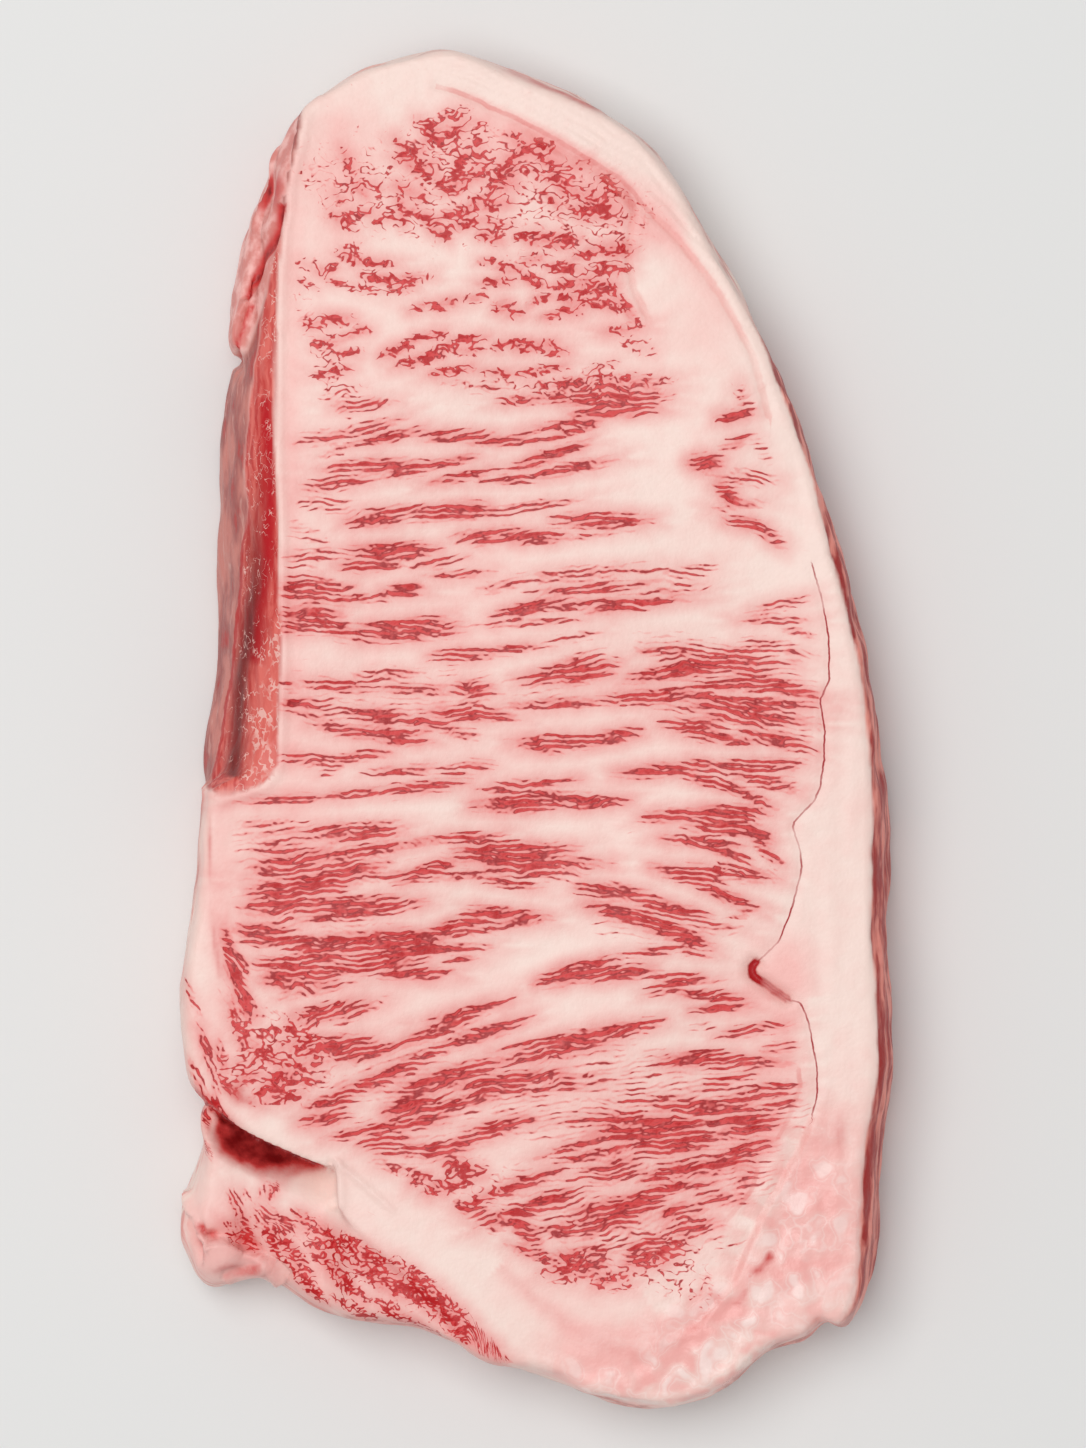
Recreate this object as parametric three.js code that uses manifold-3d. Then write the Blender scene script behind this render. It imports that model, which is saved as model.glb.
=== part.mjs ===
// A thick-cut raw sirloin steak, heavily marbled, lying flat on one cut face.
// Millimetres, +Z up, X across the steak, Y along it. The origin is the middle of the face it rests on.
//
// The steak is one piece of meat, so it is one solid. Three rounded slabs make it up: the eye of the steak
// with its fat cap, the tail lobe tucked half under the rim of the eye, and a small flap of silverskin.
import * as THREE from "three";
import { mergeVertices } from "three/addons/utils/BufferGeometryUtils.js";
import Module from "manifold-3d";

// Driving dimensions.
const THICKNESS = 24; // from the face it rests on to the cut face on top
const LENGTH = 240; // along Y, over everything
const WIDTH = 126; // along X, over everything

// How the upper edges of the slabs are worked out.
const ROUND_EDGE = 2.2; // superellipse exponent of a plump, rounded edge
const SLOPED_EDGE = 1.35; // the same for a wide sloping wall, which is nearly a chamfer
const WIDE_INSET = 12; // a wall set back this far or more is fully sloped
const LOWEST_BULGE = 0.22; // the widest level of a wall lies between these shares of its height
const HIGHEST_BULGE = 0.88;

// Where the lobe passes under the rim of the eye, and where it rises level with it.
const SLIT_START = { x: -58, y: -66 }; // at the open, left end of the slit
const SLIT_SLOPE = -0.5; // mm down for each mm to the right
const LOBE_CROWN = 18.5; // height of the free part of the lobe
const LOBE_STEP = 0.6; // how far the joined part of the lobe lies below the eye
const LOBE_DIP = 5.5; // how far the lobe sinks as it goes under the rim
const LOBE_JOIN = [-38, -31]; // the stretch of X over which it rises
const FLAP_CROWN = 17.5; // height of the silverskin flap

const { smoothstep, lerp } = THREE.MathUtils;
const bump = (x, y, cx, cy, rx, ry) => Math.exp(-(((x - cx) / rx) ** 2) - ((y - cy) / ry) ** 2);

// Each outline point is [x, y, top inset, base inset]: the place where the wall is widest, then how far the
// edge of the top face and the edge of the resting face are set back from it.
const eye = {
  samples: 140,
  spine: [-10, 72, 10, -66],
  stations: 14,
  outline: [
    // the top end, with red meat on its wall
    [-15, 120, 2.2, 3],
    [-6.5, 117.5, 3, 3],
    [3, 114, 3, 3],
    [11, 109.5, 2.2, 3],
    // the fat cap down the right side
    [18.5, 104, 1.6, 2.5],
    [25, 96, 1.6, 2.5],
    [31, 85.3, 1.7, 2.5],
    [37.5, 74.5, 1.8, 2.5],
    [46.5, 54, 2.2, 2.5],
    [52.5, 35.5, 2.7, 2.5],
    [58.5, 11.5, 3, 2.5],
    [62, -12, 4.2, 2],
    [62.7, -25, 5, 2],
    [62, -38.5, 4.2, 2],
    [63, -56, 4, 2],
    [61.5, -74, 5, 2],
    [60.5, -88, 5, 2],
    [58.5, -99.5, 4, 2.5],
    // the lumpy fat along the bottom
    [54.5, -105, 3, 3],
    [51.2, -104.2, 3, 3],
    [48, -107, 3, 3],
    [42.5, -109, 3, 3],
    [36, -114, 3, 3],
    [28, -118.6, 3, 3],
    [21, -120, 3, 3],
    [9, -117.5, 3, 3],
    [1.5, -114, 3, 3],
    [-11, -110.5, 2, 3],
    // the rim over the lobe, undercut along the slit
    [-18.5, -101.5, 1.5, 3],
    [-26.5, -93.5, 1, 3],
    [-33.5, -86.5, 1, 4],
    [-35.8, -82, 1, 5],
    [-36.2, -77.6, 1, 6],
    [-41.5, -75, 0.6, 7],
    [-50, -71, 0.6, 7],
    [-55, -68, 0.8, 6],
    [-58.2, -65.2, 1, 4.5],
    // the fat down the lower left side
    [-61.5, -61, 2, 3],
    [-63, -49, 2.5, 2.5],
    [-62.3, -40.5, 2.5, 2.5],
    [-60.5, -30.5, 2.5, 2.5],
    [-59.2, -16.5, 2, 2.5],
    [-58.9, -11.5, 2.5, 2.5],
    // the wide sloping wall of silverskin and bare lean meat
    [-59.6, -8, 11, 2],
    [-58.6, 0.5, 14, 2],
    [-56.8, 14, 12, 2],
    [-56.8, 35, 12, 2],
    [-56.4, 50.5, 10.7, 2],
    [-53.8, 65, 8, 2.5],
    [-50, 79, 5, 3],
    [-47.8, 93, 4, 3],
    [-44.5, 103.5, 3, 3],
    [-40.5, 109.3, 1.2, 3],
    [-31.5, 115.5, 1.5, 3],
    [-21.5, 119, 1.8, 3],
  ],
  // The cut face is nearly flat: the fat cap stands a little proud and the lean sags a little.
  height: (x, y) =>
    THICKNESS +
    0.7 * smoothstep(x - 0.12 * y, 38, 58) -
    0.6 * bump(x, y, -12, -20, 30, 70) +
    0.5 * bump(x, y, 14, -104, 30, 12) +
    0.35 * Math.sin(x / 9 + 1) * Math.sin(y / 13),
};

const lobe = {
  samples: 76,
  spine: [-52, -84, -24, -92],
  stations: 4,
  outline: [
    [-59.2, -67.5, 2, 2.5],
    [-59, -73.5, 3, 2.5],
    [-61.5, -80, 4.5, 2.5],
    [-63, -88.5, 5, 2.5],
    [-61.5, -95, 5, 2.5],
    [-57.5, -98.6, 4.5, 2.5],
    [-52.5, -97.4, 4, 2.5],
    [-48.5, -96.5, 4, 2.5],
    [-43.5, -99.5, 4, 2.5],
    [-37, -103.5, 3.5, 2.5],
    [-29, -104.8, 3, 2.5],
    [-20.5, -105.7, 2.5, 2.5],
    [-13.5, -108.5, 2, 2.5],
    [-9.5, -110.5, 2, 2.5],
    // inside the eye from here on
    [-2, -101, 2, 2],
    [-12, -88, 2, 2],
    [-26, -73, 2, 2],
    [-40, -65, 2, 2],
    [-52, -61.5, 2, 2],
  ],
  height: (x, y) => {
    const joined = smoothstep(x, ...LOBE_JOIN);
    const belowSlit = SLIT_START.y + SLIT_SLOPE * (x - SLIT_START.x) - y;
    const dip = LOBE_DIP * (1 - smoothstep(belowSlit, 0, 9));
    const crease = 1.8 * bump(x, y, -51.5, -93, 2.5, 7);
    const knuckle = 1.2 * bump(x, y, -58, -87, 5, 7);
    return lerp(LOBE_CROWN - dip - crease + knuckle, THICKNESS - LOBE_STEP, joined);
  },
};

const flap = {
  samples: 44,
  spine: [-49.5, 88, -50.5, 76],
  stations: 2,
  outline: [
    [-45, 103, 1.5, 3],
    [-48, 96.5, 2.5, 3],
    [-50.6, 90, 3, 3],
    [-53, 83, 3.5, 3],
    [-54.5, 74.5, 4, 3],
    [-54.6, 69, 3.5, 3],
    [-53.4, 65.3, 2, 3],
    [-49, 67, 2, 3],
    [-46, 78, 2, 3],
    [-43, 92, 2, 3],
    [-42.5, 99, 2, 3],
  ],
  height: (x, y) => FLAP_CROWN - 2 * bump(x, y, -48.2, 80, 1.6, 12) + 0.8 * bump(x, y, -52, 76, 2.5, 6),
};

const BASE_STEPS = 3; // from the resting face up to the widest level
const WALL_STEPS = 5; // from there up to the edge of the top face
const TOP_RINGS = 7; // from that edge in to the spine

// The column of points over one place on the outline, from the resting face up the wall and across the top
// to the spine. Every column ends at one of the spine's stations, where those from both sides meet.
function column(widest, topInset, baseInset, { spine: [x0, y0, x1, y1], stations, height }) {
  const spineLine = new THREE.Line3(new THREE.Vector3(x0, y0, 0), new THREE.Vector3(x1, y1, 0));
  const along = spineLine.closestPointToPointParameter(widest, true);
  const station = spineLine.at(Math.round(along * stations) / stations, new THREE.Vector3());
  const inward = spineLine.at(along, new THREE.Vector3()).sub(widest).normalize();
  const points = [];
  const add = (inset, z) => {
    const p = widest.clone().addScaledVector(inward, inset);
    points.push(p.setZ(z));
  };
  const topEdge = widest.clone().addScaledVector(inward, topInset);
  const top = height(topEdge.x, topEdge.y);
  const share = THREE.MathUtils.clamp(baseInset / (baseInset + topInset), LOWEST_BULGE, HIGHEST_BULGE);
  const bulge = share * top;
  for (let j = 0; j < BASE_STEPS; j++) {
    const a = (j / BASE_STEPS) * (Math.PI / 2);
    add(baseInset * (1 - Math.sin(a)), bulge * (1 - Math.cos(a)));
  }
  const exponent = lerp(ROUND_EDGE, SLOPED_EDGE, Math.min(topInset / WIDE_INSET, 1));
  for (let j = 0; j <= WALL_STEPS; j++) {
    const a = (j / WALL_STEPS) * (Math.PI / 2);
    const out = Math.max(Math.cos(a), 0) ** (2 / exponent);
    const up = Math.sin(a) ** (2 / exponent);
    add(topInset * (1 - out), bulge + (top - bulge) * up);
  }
  for (let j = 1; j <= TOP_RINGS; j++) {
    const p = topEdge.clone().lerp(station, j / TOP_RINGS);
    points.push(p.setZ(height(p.x, p.y)));
  }
  return points;
}

// A rounded slab of meat as one closed geometry: columns all round, which meet above, and a flat face below.
function slabGeometry(slab) {
  const path = new THREE.CatmullRomCurve3(
    slab.outline.map(([x, y]) => new THREE.Vector3(x, y, 0)),
    true,
    "centripetal",
  );
  const insets = new THREE.CatmullRomCurve3(
    slab.outline.map(([, , top, base]) => new THREE.Vector3(top, base, 0)),
    true,
    "centripetal",
  );
  const columns = [];
  for (let i = 0; i < slab.samples; i++) {
    const t = path.getUtoTmapping(i / slab.samples, null);
    const inset = insets.getPoint(t);
    columns.push(column(path.getPoint(t), Math.max(inset.x, 0.3), Math.max(inset.y, 0.3), slab));
  }
  const clockwise = THREE.ShapeUtils.isClockWise(columns.map((c) => c[0]));
  if (clockwise) columns.reverse();

  const rings = columns[0].length;
  const count = columns.length;
  const indices = [];
  for (let i = 0; i < count; i++) {
    const here = i * rings;
    const next = ((i + 1) % count) * rings;
    for (let j = 0; j + 1 < rings; j++) {
      indices.push(here + j, next + j, next + j + 1, here + j, next + j + 1, here + j + 1);
    }
  }
  for (const [a, b, c] of THREE.ShapeUtils.triangulateShape(columns.map((points) => points[0]), [])) {
    indices.push(a * rings, c * rings, b * rings);
  }
  const geometry = new THREE.BufferGeometry().setFromPoints(columns.flat());
  geometry.setIndex(indices);
  return geometry;
}

const wasm = await Module();
wasm.setup();

// Merging the points draws the columns together at the stations, and the triangles between two columns that
// end at the same station shrink to nothing there, so they are dropped.
function toSolid(geometry) {
  const merged = mergeVertices(geometry, 1e-3);
  const triangles = [];
  for (let i = 0; i < merged.index.count; i += 3) {
    const [a, b, c] = merged.index.array.slice(i, i + 3);
    if (a !== b && b !== c && c !== a) triangles.push(a, b, c);
  }
  return new wasm.Manifold(
    new wasm.Mesh({
      numProp: 3,
      vertProperties: merged.attributes.position.array,
      triVerts: new Uint32Array(triangles),
    }),
  );
}

function toGeometry(solid) {
  const mesh = solid.getMesh();
  const geometry = new THREE.BufferGeometry();
  geometry.setAttribute("position", new THREE.BufferAttribute(mesh.vertProperties, 3));
  geometry.setIndex(new THREE.BufferAttribute(mesh.triVerts, 1));
  geometry.computeVertexNormals();
  return geometry;
}

// Moves the joined solid so that it stands on Z = 0 with its middle on the origin, at its stated size.
function fitToSize(geometry) {
  geometry.computeBoundingBox();
  const size = geometry.boundingBox.getSize(new THREE.Vector3());
  const centre = geometry.boundingBox.getCenter(new THREE.Vector3());
  geometry.translate(-centre.x, -centre.y, -geometry.boundingBox.min.z);
  geometry.scale(WIDTH / size.x, LENGTH / size.y, 1);
  return geometry;
}

const joined = [eye, lobe, flap].map((slab) => toSolid(slabGeometry(slab))).reduce((a, b) => a.add(b));
const rawMarbledBeef = new THREE.MeshStandardMaterial({ color: 0xe9b0a8, roughness: 0.42, metalness: 0 });
const steak = new THREE.Mesh(fitToSize(toGeometry(joined)), rawMarbledBeef);
steak.name = "steak";

const part = new THREE.Group();
part.add(steak);
export default part;
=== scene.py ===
# %% [markdown]
# # A raw sirloin steak, heavily marbled
# The steak is one thick slice lying on a pale floor and seen from straight above. It is one piece of meat, so
# it is one mesh here too. The work goes from large to small: the slice's outline and walls, a fine even mesh,
# the folds and grooves, where each kind of tissue lies, and last a material that draws the tissue itself.

import bmesh
import bpy
import numpy as np
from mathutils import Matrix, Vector, bvhtree, noise


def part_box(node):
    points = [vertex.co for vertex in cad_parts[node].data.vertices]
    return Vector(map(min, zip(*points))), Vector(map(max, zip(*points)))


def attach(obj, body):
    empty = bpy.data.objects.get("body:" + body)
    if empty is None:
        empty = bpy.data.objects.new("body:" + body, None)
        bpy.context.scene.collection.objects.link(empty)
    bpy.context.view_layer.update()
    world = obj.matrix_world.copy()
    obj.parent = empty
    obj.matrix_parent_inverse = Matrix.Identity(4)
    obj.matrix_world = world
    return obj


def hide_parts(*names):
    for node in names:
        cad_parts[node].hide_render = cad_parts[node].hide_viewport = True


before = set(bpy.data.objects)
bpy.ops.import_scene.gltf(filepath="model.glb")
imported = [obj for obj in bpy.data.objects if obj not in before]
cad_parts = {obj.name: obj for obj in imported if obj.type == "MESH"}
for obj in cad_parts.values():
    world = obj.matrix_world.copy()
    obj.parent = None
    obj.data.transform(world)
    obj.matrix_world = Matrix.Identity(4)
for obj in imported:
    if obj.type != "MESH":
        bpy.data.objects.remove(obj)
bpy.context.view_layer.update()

MM = 0.001  # metres in a millimetre
steak_low, steak_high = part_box("steak")
steak_size = (steak_high - steak_low) / MM
THICKNESS = 24  # mm, from the face it rests on to the cut face on top
print("steak is", [round(side, 1) for side in steak_size], "mm")

# %% [markdown]
# ## Camera
# A flat thing like this reads best from straight above. A long lens a long way off keeps the walls from
# leaning outwards, so that they show only where the meat itself bulges or slopes.

# %% Camera
CAMERA_HEIGHT = 1200  # mm above the floor
VIEW_HEIGHT = 253.8  # mm of cut face from the bottom to the top of the picture
VIEW_CENTRE = (1.16, 1.0)  # mm
SENSOR = 36  # mm along the longer side of the picture

camera = bpy.data.objects.new("camera", bpy.data.cameras.new("camera"))
camera.data.sensor_width = SENSOR
camera.data.lens = SENSOR * (CAMERA_HEIGHT - THICKNESS) / VIEW_HEIGHT
camera.data.clip_start = 0.05
camera.location = Vector((*VIEW_CENTRE, CAMERA_HEIGHT)) * MM
bpy.context.scene.collection.objects.link(camera)
bpy.context.scene.camera = camera
print(f"lens {camera.data.lens:.0f} mm")

# %% [markdown]
# ## Floor and light
# One broad soft light nearly overhead models the low relief, and a pale surround fills the shaded walls.
# Raw fat is almost as pale as paper, so the standard view is used: it shows pale colours as they are.

# %% Floor
FLOOR_SIZE = 3.0  # m
FLOOR_GAP = 0.2  # mm between the floor and the steak, so that the two faces don't flicker through each other
FLOOR_COLOUR = (0.80, 0.80, 0.79, 1)
FLOOR_ROUGHNESS = 0.8


def plain_material(name, colour, roughness):
    """A material that is one colour all over."""
    material = bpy.data.materials.new(name)
    material.use_nodes = True
    shader = material.node_tree.nodes["Principled BSDF"]
    shader.inputs["Base Color"].default_value = colour
    shader.inputs["Roughness"].default_value = roughness
    return material


bpy.ops.mesh.primitive_plane_add(size=FLOOR_SIZE)
floor = bpy.context.object
floor.name = "floor"
floor.location.z = -FLOOR_GAP * MM
floor.data.materials.append(plain_material("pale_floor", FLOOR_COLOUR, FLOOR_ROUGHNESS))
print(f"a floor of {FLOOR_SIZE} m")

# %% Light
LIGHT_AT = Vector((-0.30, 0.18, 1.4))  # m
LIGHT_WIDTH = 0.9  # m
LIGHT_WATTS = 12.2
SURROUND = 0.45

light = bpy.data.objects.new("soft_light", bpy.data.lights.new("soft_light", "AREA"))
light.data.size = LIGHT_WIDTH
light.data.energy = LIGHT_WATTS
light.location = LIGHT_AT
light.rotation_mode = "QUATERNION"
light.rotation_quaternion = (-LIGHT_AT).to_track_quat("-Z", "Y")
bpy.context.scene.collection.objects.link(light)

world = bpy.data.worlds.new("surround")
world.use_nodes = True
background = world.node_tree.nodes["Background"].inputs
background["Color"].default_value = (1, 1, 1, 1)
background["Strength"].default_value = SURROUND
bpy.context.scene.world = world
bpy.context.scene.view_settings.view_transform = "Standard"
print(f"a light of {LIGHT_WATTS} W, {LIGHT_AT.z:.1f} m above the floor")

# %% [markdown]
# ## The slice's outline
# The real slice is a long muscle with a fat cap down one side, a tail lobe tucked half under its lower rim,
# and a flap of silverskin on the upper left. Sculpting could make it, but a list of outline points stays easy
# to read and change. Each point is where the wall is widest, with two insets: how far the edge of the top
# face and the edge of the resting face are set back from it. Small insets give a steep wall, large ones a
# slope.

# %% Outline of the eye of the steak
# Each point is (x, y, top inset, base inset), in mm.
EYE = dict(
    spine=((-10, 72), (10, -66)),
    outline=[
        # the narrow end
        (-15, 120, 2.2, 3), (-6.5, 117.5, 3, 3), (3, 114, 3, 3), (11, 109.5, 2.2, 3),
        # the fat cap down the right side
        (18.5, 104, 1.6, 2.5), (25, 96, 1.6, 2.5), (31, 85.3, 1.7, 2.5), (37.5, 74.5, 1.8, 2.5),
        (46.5, 54, 2.2, 2.5), (52.5, 35.5, 2.7, 2.5), (58.5, 11.5, 3, 2.5), (62, -12, 4.2, 2),
        (62.7, -25, 5, 2), (62, -38.5, 4.2, 2), (63, -56, 4, 2), (61.5, -74, 5, 2),
        (60.5, -88, 5, 2), (58.5, -99.5, 4, 2.5),
        # the lumpy fat along the blunt end
        (54.5, -105, 3, 3), (51.2, -104.2, 3, 3), (48, -107, 3, 3), (42.5, -109, 3, 3),
        (36, -114, 3, 3), (28, -118.6, 3, 3), (21, -120, 3, 3), (9, -117.5, 3, 3),
        (1.5, -114, 3, 3), (-11, -110.5, 2, 3),
        # the rim over the lobe, undercut along the slit
        (-18.5, -101.5, 1.5, 3), (-26.5, -93.5, 1, 3), (-33.5, -86.5, 1, 4), (-35.8, -82, 1, 5),
        (-36.2, -77.6, 1, 6), (-41.5, -75, 0.6, 7), (-50, -71, 0.6, 7), (-55, -68, 0.8, 6),
        (-58.2, -65.2, 1, 4.5),
        # the fat down the lower left side
        (-61.5, -61, 2, 3), (-63, -49, 2.5, 2.5), (-62.3, -40.5, 2.5, 2.5), (-60.5, -30.5, 2.5, 2.5),
        (-59.2, -16.5, 2, 2.5), (-58.9, -11.5, 2.5, 2.5),
        # the wide sloping wall of silverskin and bare lean meat
        (-59.6, -8, 11, 2), (-58.6, 0.5, 14, 2), (-56.8, 14, 12, 2), (-56.8, 35, 12, 2),
        (-56.4, 50.5, 10.7, 2), (-53.8, 65, 8, 2.5), (-50, 79, 5, 3), (-47.8, 93, 4, 3),
        (-44.5, 103.5, 3, 3), (-40.5, 109.3, 1.2, 3), (-31.5, 115.5, 1.5, 3), (-21.5, 119, 1.8, 3),
    ],
)
print(len(EYE["outline"]), "points round the eye")

# %% Outlines of the lobe and of the silverskin flap
LOBE = dict(
    spine=((-52, -84), (-24, -92)),
    outline=[
        (-59.2, -67.5, 2, 2.5), (-59, -73.5, 3, 2.5), (-61.5, -80, 4.5, 2.5), (-63, -88.5, 5, 2.5),
        (-61.5, -95, 5, 2.5), (-57.5, -98.6, 4.5, 2.5), (-52.5, -97.4, 4, 2.5), (-48.5, -96.5, 4, 2.5),
        (-43.5, -99.5, 4, 2.5), (-37, -103.5, 3.5, 2.5), (-29, -104.8, 3, 2.5), (-20.5, -105.7, 2.5, 2.5),
        (-13.5, -108.5, 2, 2.5), (-9.5, -110.5, 2, 2.5),
        # inside the eye from here on
        (-2, -101, 2, 2), (-12, -88, 2, 2), (-26, -73, 2, 2), (-40, -65, 2, 2), (-52, -61.5, 2, 2),
    ],
)
FLAP = dict(
    spine=((-49.5, 88), (-50.5, 76)),
    outline=[
        (-45, 103, 1.5, 3), (-48, 96.5, 2.5, 3), (-50.6, 90, 3, 3), (-53, 83, 3.5, 3),
        (-54.5, 74.5, 4, 3), (-54.6, 69, 3.5, 3), (-53.4, 65.3, 2, 3), (-49, 67, 2, 3),
        (-46, 78, 2, 3), (-43, 92, 2, 3), (-42.5, 99, 2, 3),
    ],
)
print(len(LOBE["outline"]), "points round the lobe and", len(FLAP["outline"]), "round the flap")

# %% [markdown]
# ## How high each top face is
# A cut face is nearly flat, but not quite: firm fat stands a little proud, soft lean meat sags a little, and
# the lobe dips as it goes under the rim. Each slab has a small formula for the height of its top face.

# %% Where the slabs rise and dip
SLIT_START = (-58, -66)  # mm, the open, left end of the slit
SLIT_SLOPE = -0.5  # mm down for each mm to the right
LOBE_CROWN = 18.5  # mm, the height of the free part of the lobe
LOBE_STEP = 0.6  # mm that the joined part of the lobe lies below the eye
LOBE_DIP = 5.5  # mm that the lobe sinks as it goes under the rim
LOBE_JOIN = (-38, -31)  # mm, the stretch of X over which it rises level with the eye
FLAP_CROWN = 17.5  # mm, the height of the silverskin flap


def smooth(values, start, end):
    """0 before start, 1 after end, and an even S in between. Start may be above end."""
    share = np.clip((values - start) / (end - start), 0, 1)
    return share * share * (3 - 2 * share)


def bump(x, y, centre_x, centre_y, reach_x, reach_y):
    """A round hill, 1 high in its middle."""
    return np.exp(-(((x - centre_x) / reach_x) ** 2) - ((y - centre_y) / reach_y) ** 2)


print("the lobe lies", round(THICKNESS - LOBE_CROWN, 1), "mm below the eye")

# %% Heights of the top faces
def eye_height(x, y):
    cap = 0.7 * smooth(x - 0.12 * y, 38, 58)
    sag = 0.6 * bump(x, y, -12, -20, 30, 70)
    blunt_end = 0.5 * bump(x, y, 14, -104, 30, 12)
    return THICKNESS + cap - sag + blunt_end + 0.35 * np.sin(x / 9 + 1) * np.sin(y / 13)


def past_slit(x, y):
    """How far a place lies below the line of the slit, in mm."""
    return SLIT_START[1] + SLIT_SLOPE * (x - SLIT_START[0]) - y


def lobe_height(x, y):
    dip = LOBE_DIP * (1 - smooth(past_slit(x, y), 0, 9))
    crease = 1.8 * bump(x, y, -51.5, -93, 2.5, 7)
    knuckle = 1.2 * bump(x, y, -58, -87, 5, 7)
    joined = smooth(x, *LOBE_JOIN)
    return (LOBE_CROWN - dip - crease + knuckle) * (1 - joined) + (THICKNESS - LOBE_STEP) * joined


def flap_height(x, y):
    return FLAP_CROWN - 2 * bump(x, y, -48.2, 80, 1.6, 12) + 0.8 * bump(x, y, -52, 76, 2.5, 6)


EYE["height"] = eye_height
LOBE["height"] = lobe_height
FLAP["height"] = flap_height
print("the eye's middle is", round(float(eye_height(0, 0)), 2), "mm high")

# %% [markdown]
# ## Walls
# Meat has no sharp corners: its walls swell out below the cut face and tuck in again at the floor. So each
# column of points over the outline is two quarter curves, one from the floor to the widest level and one from
# there to the top face. A narrow wall gets a plump curve and a wide one is nearly a straight slope.

# %% A smooth closed curve through the outline
POINTS_PER_SPAN = 12
NO_GAP = 0.01  # two points closer than this count as one


def gap(first, second):
    """The square root of the distance, by which a centripetal curve counts its steps."""
    return np.linalg.norm(second - first, axis=1)[:, None] ** 0.5


def closed_curve(points):
    """A centripetal Catmull-Rom curve: it goes through every point and doesn't overshoot at tight corners."""
    p = np.array(points, float)
    before, start, end, after = (np.roll(p, shift, axis=0) for shift in (1, 0, -1, -2))
    here = gap(start, end)
    here[here < NO_GAP] = 1
    back = np.where(gap(before, start) < NO_GAP, here, gap(before, start))
    ahead = np.where(gap(end, after) < NO_GAP, here, gap(end, after))
    away = (start - before) / back - (end - before) / (back + here) + (end - start) / here
    into = (end - start) / here - (after - start) / (here + ahead) + (after - end) / ahead
    away, into = away * here, into * here
    t = np.arange(POINTS_PER_SPAN)[:, None, None] / POINTS_PER_SPAN
    curve = (
        start
        + away * t
        + (3 * (end - start) - 2 * away - into) * t**2
        + (2 * (start - end) + away + into) * t**3
    )
    return curve.transpose(1, 0, 2).reshape(-1, p.shape[1])


# %% The columns of one slab
BASE_STEPS = 6  # from the resting face up to the widest level
WALL_STEPS = 14  # from there up to the edge of the top face
TOP_RINGS = 16  # from that edge in to the spine
LEAST_INSET = 0.3  # mm
LOWEST_BULGE = 0.22  # the widest level of a wall lies between these shares of its height
HIGHEST_BULGE = 0.88
ROUND_EDGE = 2.2  # superellipse exponent of a plump, rounded edge
SLOPED_EDGE = 1.35  # the same for a wide sloping wall, which is nearly a chamfer
WIDE_INSET = 12  # mm, a wall set back this far or more is fully sloped


def slab_columns(slab):
    """An array of points, [column, level, xyz], in mm."""
    place = closed_curve([(x, y) for x, y, _, _ in slab["outline"]])
    insets = np.maximum(closed_curve([(top, base) for _, _, top, base in slab["outline"]]), LEAST_INSET)
    top_inset, base_inset = insets.T
    head, foot = np.array(slab["spine"], float)
    along = np.clip((place - head) @ (foot - head) / ((foot - head) @ (foot - head)), 0, 1)[:, None]
    middle = head + along * (foot - head)
    inward = (middle - place) / np.linalg.norm(middle - place, axis=1)[:, None]
    edge = place + inward * top_inset[:, None]
    top = slab["height"](*edge.T)
    widest = np.clip(base_inset / (base_inset + top_inset), LOWEST_BULGE, HIGHEST_BULGE) * top
    levels = []
    for turn in np.linspace(0, np.pi / 2, BASE_STEPS, endpoint=False):
        levels.append((base_inset * (1 - np.sin(turn)), widest * (1 - np.cos(turn))))
    exponent = ROUND_EDGE - (ROUND_EDGE - SLOPED_EDGE) * np.minimum(top_inset / WIDE_INSET, 1)
    for turn in np.linspace(0, np.pi / 2, WALL_STEPS + 1):
        out = max(np.cos(turn), 0) ** (2 / exponent)
        levels.append((top_inset * (1 - out), widest + (top - widest) * np.sin(turn) ** (2 / exponent)))
    points = [np.column_stack([place + inward * inset[:, None], z]) for inset, z in levels]
    for share in np.linspace(0, 1, TOP_RINGS + 1)[1:]:
        flat = edge + (middle - edge) * share
        points.append(np.column_stack([flat, slab["height"](*flat.T)]))
    return np.stack(points, axis=1)


# %% One closed mesh for each slab
def slab_mesh(name, slab):
    """The columns joined into faces, with one large face below and the spine closed above."""
    columns = slab_columns(slab)
    count, levels = columns.shape[:2]
    index = np.arange(count * levels).reshape(count, levels)
    after = np.roll(index, -1, axis=0)
    sides = np.stack([index[:, :-1], index[:, 1:], after[:, 1:], after[:, :-1]], axis=-1)
    faces = [tuple(face) for face in sides.reshape(-1, 4).tolist()]
    faces.append(tuple(index[:, 0].tolist()))
    mesh = bpy.data.meshes.new(name)
    mesh.from_pydata((columns.reshape(-1, 3) * MM).tolist(), [], faces)
    mesh.validate()
    return mesh


SLABS = {"eye": EYE, "lobe": LOBE, "flap": FLAP}
slab_meshes = {name: slab_mesh(name, slab) for name, slab in SLABS.items()}
for name, mesh in slab_meshes.items():
    print(name, len(mesh.vertices), "points")

# %% [markdown]
# ## One even skin
# The three slabs overlap. A boolean would join them, but leave long thin faces where they meet. A voxel
# remesh wraps all three in one even skin of small squares instead, which later steps can push about, and it
# rounds the inside corner where the lobe meets the rim, as meat does. Only the flat underside gets coarser
# faces.

# %% Join the slabs and remesh
VOXEL = 0.72  # mm
ONE_POINT = 0.001  # mm, points closer than this are joined

joined = bmesh.new()
for mesh in slab_meshes.values():
    joined.from_mesh(mesh)
bmesh.ops.remove_doubles(joined, verts=joined.verts, dist=ONE_POINT * MM)
bmesh.ops.recalc_face_normals(joined, faces=joined.faces)
steak_mesh = bpy.data.meshes.new("steak_meat")
joined.to_mesh(steak_mesh)
joined.free()
steak = bpy.data.objects.new("steak_meat", steak_mesh)
bpy.context.scene.collection.objects.link(steak)


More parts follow.
